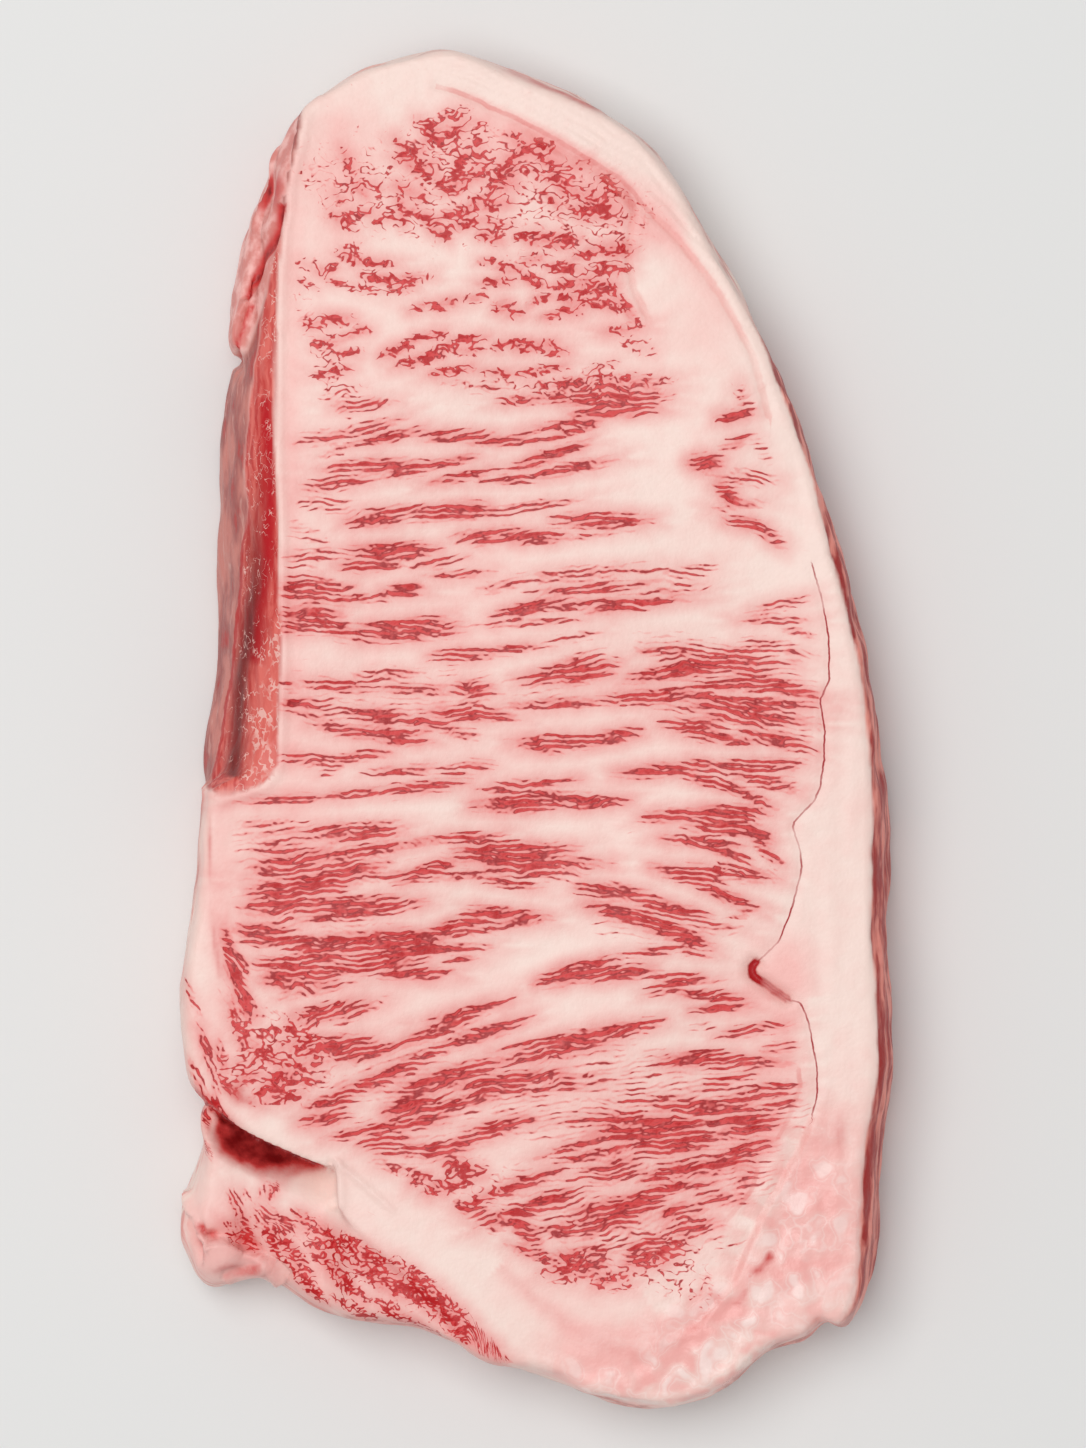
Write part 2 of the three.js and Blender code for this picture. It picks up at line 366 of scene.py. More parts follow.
def apply_modifiers(piece):
    """Replaces the piece's mesh by what its modifiers make of it."""
    shown = piece.evaluated_get(bpy.context.evaluated_depsgraph_get())
    made = bpy.data.meshes.new_from_object(shown)
    piece.modifiers.clear()
    piece.data = made
    return made


remesh = steak.modifiers.new("even skin", "REMESH")
remesh.mode = "VOXEL"
remesh.voxel_size = VOXEL * MM
apply_modifiers(steak)
print("even skin has", len(steak.data.polygons), "squares")

# %% Thin out the flat underside
UNDERSIDE_SHARE = 0.2  # how much of the underside's mesh is kept
ON_FLOOR = 0.02  # mm, points lower than this lie on the floor
FACING_DOWN = -0.99  # the most that the normal of a flat underside points up

underside = [v.index for v in steak.data.vertices if v.co.z < ON_FLOOR * MM and v.normal.z < FACING_DOWN]
underside_group = steak.vertex_groups.new(name="underside")
underside_group.add(underside, 1.0, "REPLACE")
thin = steak.modifiers.new("coarser underside", "DECIMATE")
thin.ratio = 1 - len(underside) / len(steak.data.polygons) * (1 - UNDERSIDE_SHARE)
thin.vertex_group = underside_group.name
thin.use_collapse_triangulate = True
apply_modifiers(steak)
steak.vertex_groups.clear()
print("steak has", len(steak.data.polygons), "triangles")

# %% Read and write points as arrays
def read_points(mesh):
    """Points and normals, in mm."""
    points = np.empty(len(mesh.vertices) * 3)
    mesh.vertices.foreach_get("co", points)
    normals = np.empty(len(mesh.vertices) * 3)
    mesh.vertices.foreach_get("normal", normals)
    return points.reshape(-1, 3) / MM, normals.reshape(-1, 3)


def write_points(mesh, points):
    mesh.vertices.foreach_set("co", (points * MM).ravel())
    mesh.update()


# %% Fit the mesh to the frame
points, normals = read_points(steak.data)
low, high = points.min(0), points.max(0)
scale = np.array(steak_size) / (high - low)
scale[2] = 1
points = (points - (low + high) / 2 * [1, 1, 0] - low * [0, 0, 1]) * scale
points += np.array((steak_low + steak_high) / 2 / MM) * [1, 1, 0]
print("fitted to the frame by", (scale[:2] * 100 - 100).round(2), "%")

# %% [markdown]
# The remesh leaves faint steps on a surface that is almost level, and they would show in the gloss. The
# height formulas say exactly where the top faces lie, so the points that are already close are put exactly
# there.

# %% Level the top faces
x, y, z = points.T
faces_up = normals[:, 2]
level = np.zeros(len(z))
for slab in SLABS.values():
    off = slab["height"](x, y) - z
    close = (1 - smooth(np.abs(off), 0.05, 0.2)) * smooth(faces_up, 0.9, 0.97)
    level += off * close
z += level
drop = eye_height(x, y) - z  # how far each point lies below the cut face
print("levelled", int((level != 0).sum()), "points")

# %% [markdown]
# ## A layout for the tissue
# Fat, lean, membranes and folds each have their place on this steak. They are laid out on a fine square grid
# over the cut face, as a tailor would chalk them on cloth: columns count from the left and rows from the top.
# Everything below is measured from such lines and spots, so moving one of them moves its groove and its
# colour.

# %% The layout grid
GRID_ROWS = 1369.5  # squares along the length of the steak
GRID_ZERO = (536.4, 729.75)  # the column and row over the middle of the steak
SQUARE = steak_size.y / GRID_ROWS  # mm


def on_grid(column, row):
    """Millimetres from a column and a row of the layout grid."""
    return (column - GRID_ZERO[0]) * SQUARE, (GRID_ZERO[1] - row) * SQUARE


def chalk(*squares):
    """A chalk line in mm, from (column, row) pairs."""
    return np.array([on_grid(*square) for square in squares])


row = GRID_ZERO[1] - y / SQUARE  # the row that each point lies in
print(f"one square is {SQUARE:.4f} mm")

# %% Distance to a chalk line
END_FADE = 0.7  # mm over which a line fades beyond its ends


def line_field(line, reach=3.0):
    """For every point: the signed distance to the line in mm (left of it is negative when it runs down the
    steak), how near the line is (1 on it, 0 beyond the reach), and the share of the line passed there."""
    best = np.full(len(x), 1e9)
    signed = np.zeros(len(x))
    passed = np.zeros(len(x))
    beyond = np.zeros(len(x))
    spans = np.linalg.norm(np.diff(line, axis=0), axis=1)
    start = 0.0
    for (ax, ay), (bx, by), span in zip(line[:-1], line[1:], spans):
        dx, dy = (bx - ax) / span, (by - ay) / span
        along = (x - ax) * dx + (y - ay) * dy
        kept = np.clip(along, 0, span)
        away = np.hypot(x - ax - kept * dx, y - ay - kept * dy)
        side = np.sign((x - ax) * -dy + (y - ay) * dx)
        nearer = away < best
        best = np.where(nearer, away, best)
        signed = np.where(nearer, away * side, signed)
        passed = np.where(nearer, (start + kept) / spans.sum(), passed)
        beyond = np.where(nearer, np.abs(along - kept), beyond)
        start += span
    at_end = (passed <= 0) | (passed >= 1)
    near = (1 - smooth(best, reach * 0.5, reach)) * np.where(at_end, 1 - smooth(beyond, 0, END_FADE), 1)
    return signed, near, passed


# %% Soft spots and smooth noise
def spot(column, row, reach_across, reach_down, turn=0.0):
    """How much of a soft oval spot covers each point, from 0 to 1. The turn is in degrees, anticlockwise."""
    centre_x, centre_y = on_grid(column, row)
    cos, sin = np.cos(np.radians(turn)), np.sin(np.radians(turn))
    across = ((x - centre_x) * cos + (y - centre_y) * sin) / (reach_across * SQUARE)
    down = ((y - centre_y) * cos - (x - centre_x) * sin) / (reach_down * SQUARE)
    return np.exp(-(across**2) - down**2)


def wobble(size, seed=0.0, stretch=(1, 1, 1)):
    """Smooth noise from -1 to 1, with features of that size in mm."""
    where = (points / stretch / size + [seed * 17.3, seed * 5.1, seed * 29.7]).tolist()
    return np.array([noise.noise(place) for place in where])


# %% Membranes, seams and folds
SEAM = chalk(
    (812, 565), (822, 600), (829, 640), (829, 680), (820, 700), (825, 730), (824, 760), (820, 787),
    (815, 800), (794, 822), (793, 828), (800, 850), (802, 868), (798, 885), (790, 915), (778, 942),
    (765, 955), (752, 966), (752, 974), (770, 988), (788, 1000), (800, 1002), (806, 1014), (808, 1020),
    (814, 1050), (817, 1070), (817, 1095), (812, 1115),
)
CREVICE = chalk((757, 961), (751, 968), (753, 976), (770, 988), (788, 1000))
MUSCLE_EDGES = [
    chalk((798, 1070), (800, 1085), (795, 1100), (788, 1120), (778, 1138)),
    chalk((757, 1170), (752, 1190), (740, 1205), (725, 1222)),
]
MEMBRANE = chalk(
    (436, 86), (452, 90), (480, 101), (489, 107), (516, 118), (537, 129), (560, 142), (585, 157), (606, 170),
    (620, 178), (633, 192), (643, 205), (655, 217),
)
INNER_MEMBRANE = chalk(
    (527, 132), (548, 143), (575, 160), (590, 167), (615, 184), (622, 194), (634, 210), (631, 226),
    (628, 256), (634, 290), (648, 318),
)
CAP_LINE = chalk(
    (655, 217), (671, 232), (688, 252), (705, 274), (721, 296), (738, 327), (752, 354), (760, 382),
    (768, 415),
)
PINK_HEM = chalk(
    (812, 1117), (806, 1135), (795, 1158), (780, 1185), (768, 1205), (757, 1228), (745, 1255), (735, 1280),
    (720, 1300), (700, 1325), (668, 1340),
)
BOTTOM_BLUSH = chalk(
    (500, 1268), (535, 1300), (571, 1328), (610, 1348), (643, 1357), (686, 1335), (720, 1295),
)
PALE_BAND = chalk(
    (822, 1000), (806, 1090), (792, 1140), (765, 1190), (735, 1240), (700, 1270), (650, 1300),
)
FAT_BRUISE = chalk((772, 1255), (750, 1278), (736, 1304))
print("the seam has", len(SEAM), "points and the membrane", len(MEMBRANE))

# %% [markdown]
# The lines on the cut face are done. The next ones lie on the left wall, from its upper edge down, and on the
# lobe and the slit beside it.

# %% Edges, bands and folds of the left wall and the lobe
CREASE = chalk((331, 1162), (332, 1180), (333, 1208))
RIM_FOLD = chalk((335, 1162), (345, 1170), (390, 1208))
LEFT_EDGE = chalk(
    (318, 95), (305, 106), (299, 145), (290, 179), (283, 231), (279, 274), (277, 357), (276, 443),
    (280, 544), (279, 598), (282, 629), (279, 729), (278, 766), (265, 784), (245, 792), (222, 798),
    (198, 784), (160, 770),
)
SILVER_EDGE = chalk(
    (278, 225), (268, 279), (261, 321), (255, 353), (250, 385), (248, 418), (243, 445), (245, 480),
    (246, 522), (242, 543), (239, 579), (234, 635), (229, 668), (224, 701), (219, 739), (211, 777),
    (207, 795),
)
DARK_BAND = chalk((261, 451), (255, 527), (254, 578), (247, 630), (239, 680), (236, 731), (232, 775))
BRIGHT_BAND = chalk((266, 400), (268, 450), (270, 476), (269, 522), (264, 578), (256, 615), (252, 660))
FROTH_EDGE = chalk((284, 560), (268, 610), (260, 650), (249, 700), (247, 740), (238, 790))
FLAP_CREVICE = chalk((281, 206), (273, 232), (262, 256), (251, 280), (244, 294))
FLAP_HEM = chalk((231, 360), (236, 342), (243, 322), (250, 302))
NUB_PLEAT = chalk((186, 1198), (189, 1213), (192, 1224), (198, 1237), (206, 1248))
NUB_OVERLAP = chalk(
    (204, 1247), (215, 1242), (223, 1243), (233, 1248), (246, 1254), (258, 1259), (270, 1268), (282, 1284),
)
# Painted shadow lies along this line, in the crease under the nub's overlapping fold.
OVERLAP_SHADOW = chalk((229, 1249), (247, 1254), (262, 1260), (272, 1268))
NUB_TUCK = chalk((222, 1281), (236, 1275), (248, 1270), (260, 1266))
NUB_SLOT = chalk((189, 1222), (188, 1238), (193, 1252), (198, 1266))
SLIT_FLOOR = chalk(
    (206, 1138), (214, 1143), (222, 1151), (232, 1160), (245, 1167), (262, 1171), (290, 1171), (334, 1170),
)
RIM_OVAL = chalk((206, 1104), (208, 1116), (216, 1125), (227, 1131), (238, 1134))
RIM_WELT = chalk((336, 1163), (346, 1170), (362, 1183), (378, 1198), (392, 1210))
print("the left edge has", len(LEFT_EDGE), "points and the slit's floor", len(SLIT_FLOOR))

# %% Distances that are used more than once
seam, near_seam, _ = line_field(SEAM)
crevice, near_crevice, _ = line_field(CREVICE)
left_edge = line_field(LEFT_EDGE)[0]
silver_edge = line_field(SILVER_EDGE)[0]
past_membrane, near_membrane, _ = line_field(np.vstack([MEMBRANE, CAP_LINE[1:]]), 10)
print("seam is", round(float(np.linalg.norm(np.diff(SEAM, axis=0), axis=1).sum())), "mm long")

# %% Soft bands and folds
FOLD_EDGE = 0.35  # mm, how sharp the step of a fold is


def band(line, half_width, beside=0.0):
    """A soft band along a line, or that far to the right of it, 1 in its middle."""
    signed, near, _ = line_field(line, reach=max(3.0, 3 * half_width))
    return near * np.exp(-(((signed - beside) / half_width) ** 2))


def overlap(line, height, reach):
    """A fold that lies over the next one: a step down across a line, with backs that fade over the reach."""
    signed, near, _ = line_field(line, reach=4 * reach)
    return -height * near * np.tanh(signed / FOLD_EDGE) * np.exp(-np.abs(signed) / reach)

# %% [markdown]
# ## Bundles of lean
# Marbling isn't random: bundles of lean fibres lie in the fat like leaves in a stream, each with a length, a
# width and a direction. Noise alone gives an even speckle, so each visible bundle is listed as one long
# oval, and the material later splits it into strands. The lists follow the muscle from end to end.

# %% Bundles, upper half
# Each bundle is: from column and row, to column and row, half its width in squares, and how lean it is.
BUNDLES = """
# curly flecks in the narrow end
330 165 620 215 62 .08, 430 148 520 160 30 .12, 480 170 620 215 40 .14, 330 185 420 215 34 .12,
420 122 448 138 9 .55, 425 130 446 124 6 .5, 445 118 465 112 9 .45, 465 120 484 124 5 .5,
425 142 434 132 4 .7, 446 132 462 128 6 .8, 440 142 456 148 4 .45, 478 140 486 168 6 .4,
456 172 470 152 6 .65, 396 140 410 152 4.5 .8, 400 158 418 152 5 .9, 408 162 430 172 7 .9,
418 170 434 162 4 .75, 428 178 452 182 2.5 .9, 448 190 480 174 8 .8, 345 152 352 168 5 .6,
356 186 366 196 4 .75, 366 184 388 188 5 .45, 398 186 422 196 6 .8, 338 196 345 200 4 .55,
336 216 352 226 7 .6, 345 214 380 212 5 .6, 372 220 396 218 5 .6, 400 200 404 220 5 .9, 402 216 414 210 4 .8,
420 216 440 224 6 .8, 432 226 446 236 5 .95, 440 218 484 208 5 .85, 448 228 484 220 5 .9,
470 206 486 196 6 .75, 516 138 530 150 7 .75, 515 156 535 148 5 .85, 535 142 556 150 5 .85,
540 156 556 166 6 .85, 505 160 520 156 4 .7, 494 192 514 168 8 .9, 500 168 514 184 6 .85,
484 206 504 202 6 .9, 530 172 548 178 5 .5, 556 176 566 188 7 .9, 546 182 560 174 3 .7,
568 170 584 164 6 .55, 548 196 558 206 4 .75, 568 192 586 196 5 .85, 582 212 598 202 8 1,
588 196 596 206 5 .95, 598 208 614 210 6 .65, 600 176 618 190 5 .5, 596 216 612 218 3 .6,
480 234 500 240 6 .85, 484 222 506 226 5 .7, 528 238 548 240 7 .9, 548 240 572 242 7 .95,
515 238 530 236 4 .7, 340 250 358 246 5 .5, 300 264 318 266 6 .45, 320 272 336 268 6 .7,
330 280 342 284 5 .6, 340 256 362 258 5 .7, 352 262 392 264 4 .85, 366 276 412 284 6 .8,
346 286 380 292 5 .55, 392 280 428 276 5 .7, 385 292 408 290 4 .6, 300 280 316 288 4 .5,
480 262 494 262 5 .6, 496 266 524 270 5 .75, 524 262 545 256 5 .8, 480 284 512 280 5 .85,
526 278 546 286 6 .85, 548 266 580 270 7 .8, 578 258 600 250 6 .85, 602 250 628 252 7 1,
590 270 626 268 8 .65, 556 286 596 280 6 .9, 580 290 612 288 8 1, 560 298 590 302 6 .8,
590 302 618 306 8 .85, 614 292 632 312 6 .7, 626 310 636 322 5 .7, 606 332 640 328 4.5 .85,
628 344 652 350 8 .4, 412 310 428 304 5 .65, 432 306 444 306 5 .85, 446 304 460 300 5 .85,
468 300 484 296 5 .7, 498 308 510 306 6 .95, 508 315 522 314 3 .9, 526 308 536 302 4 .6,
538 298 548 298 5 .85, 542 318 560 314 5 .75, 562 312 580 308 6 .85, 310 326 326 322 6 .7,
324 318 350 320 6 .8, 318 344 340 342 6 .8, 340 336 362 334 4 .75, 356 330 368 330 5 .7,
334 354 358 352 5 .75, 312 374 330 376 4 .6, 330 372 350 368 5 .75, 385 356 404 348 6 .95,
404 346 420 338 5 .75, 420 338 444 334 4 .9, 400 364 440 356 5 .95, 432 352 460 344 5 .75,
452 340 486 338 4 .85, 456 350 480 350 5 .8, 496 346 506 344 5 .85, 514 345 534 346 7 .9,
536 346 555 344 5 .85, 545 352 566 351 4 .8, 432 374 470 368 4.5 .95, 440 382 468 382 3 .5,
480 371 520 374 4 .8, 520 374 560 366 5 .8, 540 370 570 366 3 .7, 588 370 616 364 4 .6,
585 376 665 380 6 .45
# left half, above the middle
325 396 362 388 7 .4, 335 408 392 402 6 .75, 465 388 520 384 8 .4, 500 402 560 396 6 .8,
540 386 665 382 9 .75, 560 400 662 396 9 .9, 575 414 655 408 7 1, 525 432 602 416 4 .9,
550 440 602 422 4.5 .85, 300 440 340 436 9 .5, 330 438 405 418 6 .7, 318 458 355 444 4 .6,
358 444 420 430 6 .9, 420 436 490 436 7 .8, 470 442 550 439 5 .85, 318 470 400 460 7 .75,
360 470 440 464 6 .85, 425 468 476 456 5 .85, 308 486 368 480 7 .75, 430 484 496 470 5 .9,
385 477 430 470 4 .8, 480 482 540 478 4 .8, 512 468 585 444 6 1, 520 478 612 460 7 .75,
300 500 350 508 10 .4, 360 514 430 508 6 .75, 420 512 488 508 8 .95, 350 523 400 520 6 .95,
395 522 520 512 3.5 .7, 500 510 580 500 5 .65, 558 520 645 520 9 .85, 560 540 630 530 4 .5,
458 538 520 532 8 .85, 508 538 560 536 8 .9, 470 545 500 543 3 .7, 295 526 325 544 9 .3,
290 558 345 552 7 .5, 355 551 432 549 8 1, 340 566 392 563 7 .85, 382 570 425 554 4 .6, 415 566 465 558 5 .7,
425 577 490 572 5 .7, 285 590 325 588 13 .75, 322 590 354 586 7 .55, 310 602 420 594 5 .7,
385 592 420 588 7 .85, 285 613 335 616 9 .85, 480 590 520 584 6 .5, 510 580 650 568 8 .55,
535 592 645 586 7 .75, 497 616 560 600 6.5 .95, 540 608 655 600 5 .85, 590 612 690 598 5 .85,
640 578 712 568 8 .4, 645 594 705 585 7 .45, 275 626 320 628 7 .75, 315 624 358 634 7 .7,
363 636 455 628 11 .85, 363 628 440 619 6 .9, 480 626 590 619 4 .65, 545 644 600 632 5 .5,
435 655 490 654 7 .8, 480 652 540 646 5 .8
# islands on the right, towards the fat cap
738 388 750 406 8 .4, 722 418 748 414 7 .85, 722 450 750 436 7 .55, 695 463 716 462 9 1,
716 476 775 480 9 .45, 720 486 736 500 8 .85, 716 508 765 502 6 .5, 730 520 762 527 6 .95,
760 528 782 545 8 .65, 755 440 768 460 7 .25, 752 612 808 598 6 .6, 742 620 810 620 5 .65,
785 628 812 636 6 .5, 745 640 812 655 8 .5, 640 652 700 650 6 .65, 700 656 765 650 6 .65
# right half, where the fibres bend down to the seam
525 680 615 664 9 .92, 555 664 600 653 6 .5, 565 683 612 673 5 .9, 632 678 740 662 8 .97,
680 660 790 664 7 .75, 735 670 822 698 6 .92, 690 688 760 682 6 .85, 740 684 815 696 5 .8,
608 700 690 694 7 .97, 690 696 725 700 5 .75, 700 703 812 706 6 .92, 655 706 760 714 5 .6,
700 718 808 722 5 .85, 720 708 800 720 5 .7, 665 724 720 728 7 .9, 690 734 750 742 6 .9,
745 732 812 750 8 .85, 515 743 600 741 8 .85, 530 750 565 750 4 .85, 590 742 636 732 8 .95,
620 774 690 768 7 1, 680 773 745 792 6 .9, 690 763 720 767 6 .85, 715 766 800 764 8 .8,
740 774 795 790 7 .75, 735 790 772 806 5 .9, 480 790 575 781 7 .75, 480 806 560 804 9 1,
500 796 600 798 7 .7, 560 805 625 801 6 .95, 645 818 700 814 7 .9, 690 814 765 812 9 .95,
690 826 765 832 8 .85, 740 822 768 840 8 .85, 660 838 740 846 7 .8, 755 842 780 864 6 .75,
700 842 750 862 7 .75, 655 868 720 884 8 .85, 690 868 775 878 9 .75, 700 886 756 908 6 .95,
730 918 756 911 3.5 .6, 580 888 650 896 9 .8, 590 906 665 924 8 1, 640 902 702 916 8 .9,
645 922 700 940 8 .97, 670 936 712 948 5 .85, 685 924 740 930 4 .55, 625 955 680 948 5 .75,
680 950 710 956 4 .75, 542 982 612 962 10 1, 580 978 650 970 8 .92, 640 976 720 980 6 .65,
650 992 700 978 7 .8, 680 994 742 998 6 .9, 695 1010 748 1006 6 .95, 720 1036 788 1024 6 .75,
690 1028 715 1026 4 .4, 620 1030 665 1020 5 .7, 665 1062 730 1056 8 .9, 700 1060 785 1063 7 .85,
765 1050 795 1046 6 .6
"""

# %% Bundles, lower half
BUNDLES += """
# left half, below the middle
280 682 300 688 6 .4, 305 684 372 687 6 .75, 360 676 420 672 6 .5, 385 688 440 691 5 .75,
458 689 490 689 8 .85, 280 704 325 704 6 .7, 285 714 370 712 7 .45, 360 714 402 718 8 .85,
310 724 360 730 7 .6, 340 733 420 734 7 .9, 385 743 430 741 5 .8, 403 720 452 727 6 .85,
430 714 505 715 7 .92, 458 704 487 702 4 .6, 490 718 518 718 3 .8, 510 707 605 701 6 .75,
448 733 476 736 8 .45, 283 758 340 760 7 .7, 335 760 390 752 6 .75, 320 774 345 764 5 .5,
370 773 440 768 6 .7, 445 770 490 765 7 .6, 238 802 330 797 5 .75, 325 797 390 790 5 .85,
380 792 465 782 7 .85, 240 824 300 822 7 .4, 250 836 300 832 6 .4, 300 834 400 826 9 .7,
340 838 400 832 5 .9, 258 850 300 846 8 .5, 258 866 330 854 7 .88, 300 862 430 841 6 .8,
420 841 500 835 5 .85, 250 876 380 862 6 .65, 300 884 380 866 7 .9, 345 880 420 874 6 .45,
258 890 345 884 10 .97, 250 908 300 902 10 .93, 290 906 420 902 9 .85, 300 920 415 908 6 .75,
400 880 452 863 7 .97, 430 878 500 872 5 .7, 458 852 570 850 9 .92, 460 860 600 864 7 .9,
490 870 580 874 8 .65, 480 880 540 888 5 .75, 470 842 520 843 4 .55, 430 934 490 914 8 .95,
470 911 545 919 8 .9, 430 937 530 924 6 .7, 238 930 280 932 8 .88, 240 941 300 942 7 .75,
280 944 345 940 7 .75, 330 945 440 937 10 1, 298 954 345 955 8 .9, 350 957 440 950 7 .85,
395 952 490 946 6 .75, 445 962 475 958 4 .65, 258 964 320 966 9 .85, 265 980 330 976 11 .9,
320 972 420 960 8 .85, 380 974 450 974 7 .85
# the fan over the rim, rising to the right
280 998 350 984 6 .6, 296 1018 360 1006 9 .85, 288 1030 320 1022 6 .6, 340 1022 385 1000 6 .5,
430 1022 508 1001 5 .92, 260 1034 300 1028 6 .4, 288 1046 370 1044 11 .85, 340 1058 400 1047 7 .85,
390 1048 480 1016 7 .85, 440 1048 525 1020 8 .88, 400 1062 450 1048 5 .8, 340 1094 420 1064 8 .92,
400 1092 500 1062 10 .95, 500 1064 600 1044 6 .92, 500 1052 640 1024 6 .95, 560 1044 655 1026 6 .85,
460 1088 560 1074 8 .95, 390 1112 430 1102 10 1, 415 1116 500 1092 7 .8, 480 1096 600 1084 5 .65,
530 1082 610 1076 3 .5, 310 1106 350 1100 7 .85, 305 1122 342 1117 8 .92, 330 1138 400 1126 6 .8,
375 1130 440 1120 7 .92, 362 1146 405 1138 6 .92, 380 1156 440 1144 6 .7, 425 1154 465 1146 7 .9,
440 1150 530 1120 6 .85, 470 1132 530 1120 6 .88, 240 1044 262 1048 8 .6, 238 1066 268 1056 11 .6,
238 1080 262 1074 7 .75, 262 1096 302 1066 12 .92, 268 1098 298 1096 7 .85, 300 1068 325 1060 7 .8,
300 1084 320 1080 5 .75, 375 1164 425 1176 7 .5, 412 1184 428 1176 5 .85, 428 1192 452 1184 8 .95,
448 1164 478 1174 9 .92, 448 1188 468 1184 5 .7
# the blunt end
462 1208 482 1212 8 .85, 475 1202 560 1170 6 .92, 530 1203 578 1193 6 .8, 482 1224 560 1200 7 .88,
490 1232 520 1220 4 .5, 515 1222 535 1240 9 .9, 512 1246 560 1262 7 .75, 545 1270 585 1264 9 .7,
540 1158 610 1136 5 .7, 560 1162 640 1146 5 .8, 600 1136 700 1128 8 1, 640 1122 705 1124 6 .95,
640 1146 700 1146 8 .97, 680 1138 718 1138 5 .9, 580 1120 640 1116 6 .65, 600 1124 650 1120 5 .7,
545 1122 590 1120 3 .4, 620 1102 690 1098 4 .6, 660 1108 712 1104 6 .75, 685 1112 755 1108 6 .85,
715 1104 758 1098 6 .7, 705 1088 758 1072 5 .7, 740 1094 800 1086 7 .7, 765 1108 795 1102 6 .7,
715 1124 772 1118 8 .95, 720 1136 775 1126 6 .85, 728 1156 768 1144 8 .92, 645 1180 690 1166 7 .85,
680 1172 745 1160 7 .95, 655 1188 712 1184 5 .75, 740 1186 754 1174 6 .7, 575 1176 640 1160 7 .65,
595 1182 640 1172 6 .7, 630 1198 685 1186 6 .85, 585 1212 660 1200 8 .97, 600 1222 640 1214 7 .8,
545 1232 610 1226 10 .65, 640 1208 660 1203 6 .65, 665 1216 682 1206 6 .95, 680 1216 702 1208 8 .65,
698 1196 745 1200 8 .6, 670 1232 715 1224 8 .75, 630 1252 662 1238 6 .85, 655 1252 685 1242 7 .65,
628 1264 668 1256 8 .85, 560 1256 605 1254 8 .8, 560 1276 605 1268 10 .7, 595 1284 622 1276 7 .75,
610 1292 642 1282 4 .4
# veins in the fat on the lower left
225 930 232 962 6 .9, 228 960 242 990 7 1, 240 990 250 1014 9 .95, 232 1004 240 1040 6 .8,
258 1052 284 1066 7 .8, 214 1074 236 1096 6 .7
# thin flecks on the end of the lobe
230 1196 238 1204 5 .5, 241 1192 246 1199 3 .5, 257 1200 263 1189 3 .75, 268 1200 275 1187 4 .8,
224 1226 236 1229 4 .55, 240 1238 249 1251 5 .65, 253 1212 257 1240 3 .5, 230 1236 236 1246 5 .4,
245 1228 250 1236 3 .5, 246 1014 248 1046 5 .6, 238 954 248 976 5 .85, 185 980 200 1020 4 .5,
200 1030 213 1070 5 .9, 218 1045 226 1080 6 .75, 190 1060 204 1095 5 .5, 200 1098 225 1122 8 .9
# webs at the left end of the rim
193 1092 204 1112 4 .9, 199 1112 206 1130 4 .8, 212 1100 222 1124 5.5 1, 222 1118 234 1132 4 .95,
214 1080 218 1104 3 .6, 198 1140 210 1160 4 .5, 230 1196 244 1232 5 .5, 242 1212 252 1250 4 .5,
232 1238 256 1250 4 .4
# thin lean between the bundles
640 640 812 690 24 .22, 690 690 815 730 22 .25, 690 770 790 780 16 .22, 600 930 740 930 18 .15,
300 300 350 420 14 .15, 296 560 350 640 22 .15, 300 690 560 700 30 .14, 250 850 420 860 26 .15,
250 900 420 950 26 .18, 230 1000 330 1090 26 .2, 320 1060 560 1120 40 .15, 560 1060 800 1120 40 .22,
560 1120 780 1180 40 .24, 480 1200 720 1240 34 .22, 560 1200 700 1290 30 .2, 360 1130 520 1180 26 .15,
240 830 300 960 16 .2
# rounded flecks in the lobe
258 1212 300 1236 9 .6, 272 1232 306 1276 9 .75, 300 1220 350 1260 10 .8, 335 1236 392 1270 9 .8,
312 1250 360 1298 10 .75, 352 1262 420 1302 11 .8, 285 1262 322 1304 7 .6, 400 1276 470 1328 12 .9,
370 1300 432 1332 8 .6, 430 1308 496 1354 10 .9, 330 1298 384 1324 6 .5, 395 1260 440 1290 6 .6,
262 1226 276 1262 5 .6, 262 1182 276 1196 4 .35
"""

# %% Read the bundles
bundles = []
for line in BUNDLES.split("\n"):
    if not line.startswith("#"):
        bundles += [[float(word) for word in bundle.split()] for bundle in line.split(",") if bundle]
print(len(bundles), "bundles")

# %% [markdown]
# From the bundles come three things at every point of the steak: how lean it is, how much the lean next to
# it tints the fat, and which way the fibres run. A direction has no front or back, so it is averaged as twice
# its angle, where the two ends of a fibre count as the same.

# %% The field of one bundle
TAPER = 0.9  # how far a bundle's ends reach past its two places, as a share of half its width
TINT_REACH = (-0.5, 3.0)  # mm past a bundle's edge over which its tint fades
PULL_REACH = 3.0  # mm over which the pull on the fibres' direction fades


def bundle_field(column_a, row_a, column_b, row_b, half_width):
    """The bundle's angle, and for every point its reach, 1 on the edge, and how far outside it is in mm."""
    ax, ay = on_grid(column_a, row_a)
    bx, by = on_grid(column_b, row_b)
    half_width *= SQUARE
    half_length = np.hypot(bx - ax, by - ay) / 2 + half_width * TAPER
    angle = np.arctan2(by - ay, bx - ax)
    cos, sin = np.cos(angle), np.sin(angle)
    from_x, from_y = x - (ax + bx) / 2, y - (ay + by) / 2
    along = (from_x * cos + from_y * sin) / half_length
    across = (from_y * cos - from_x * sin) / half_width
    reach = np.hypot(along, across) + 1e-6
    steepness = np.hypot(along / half_length, across / half_width) / reach
    return angle, reach, (reach - 1) / np.maximum(steepness, 1e-3)


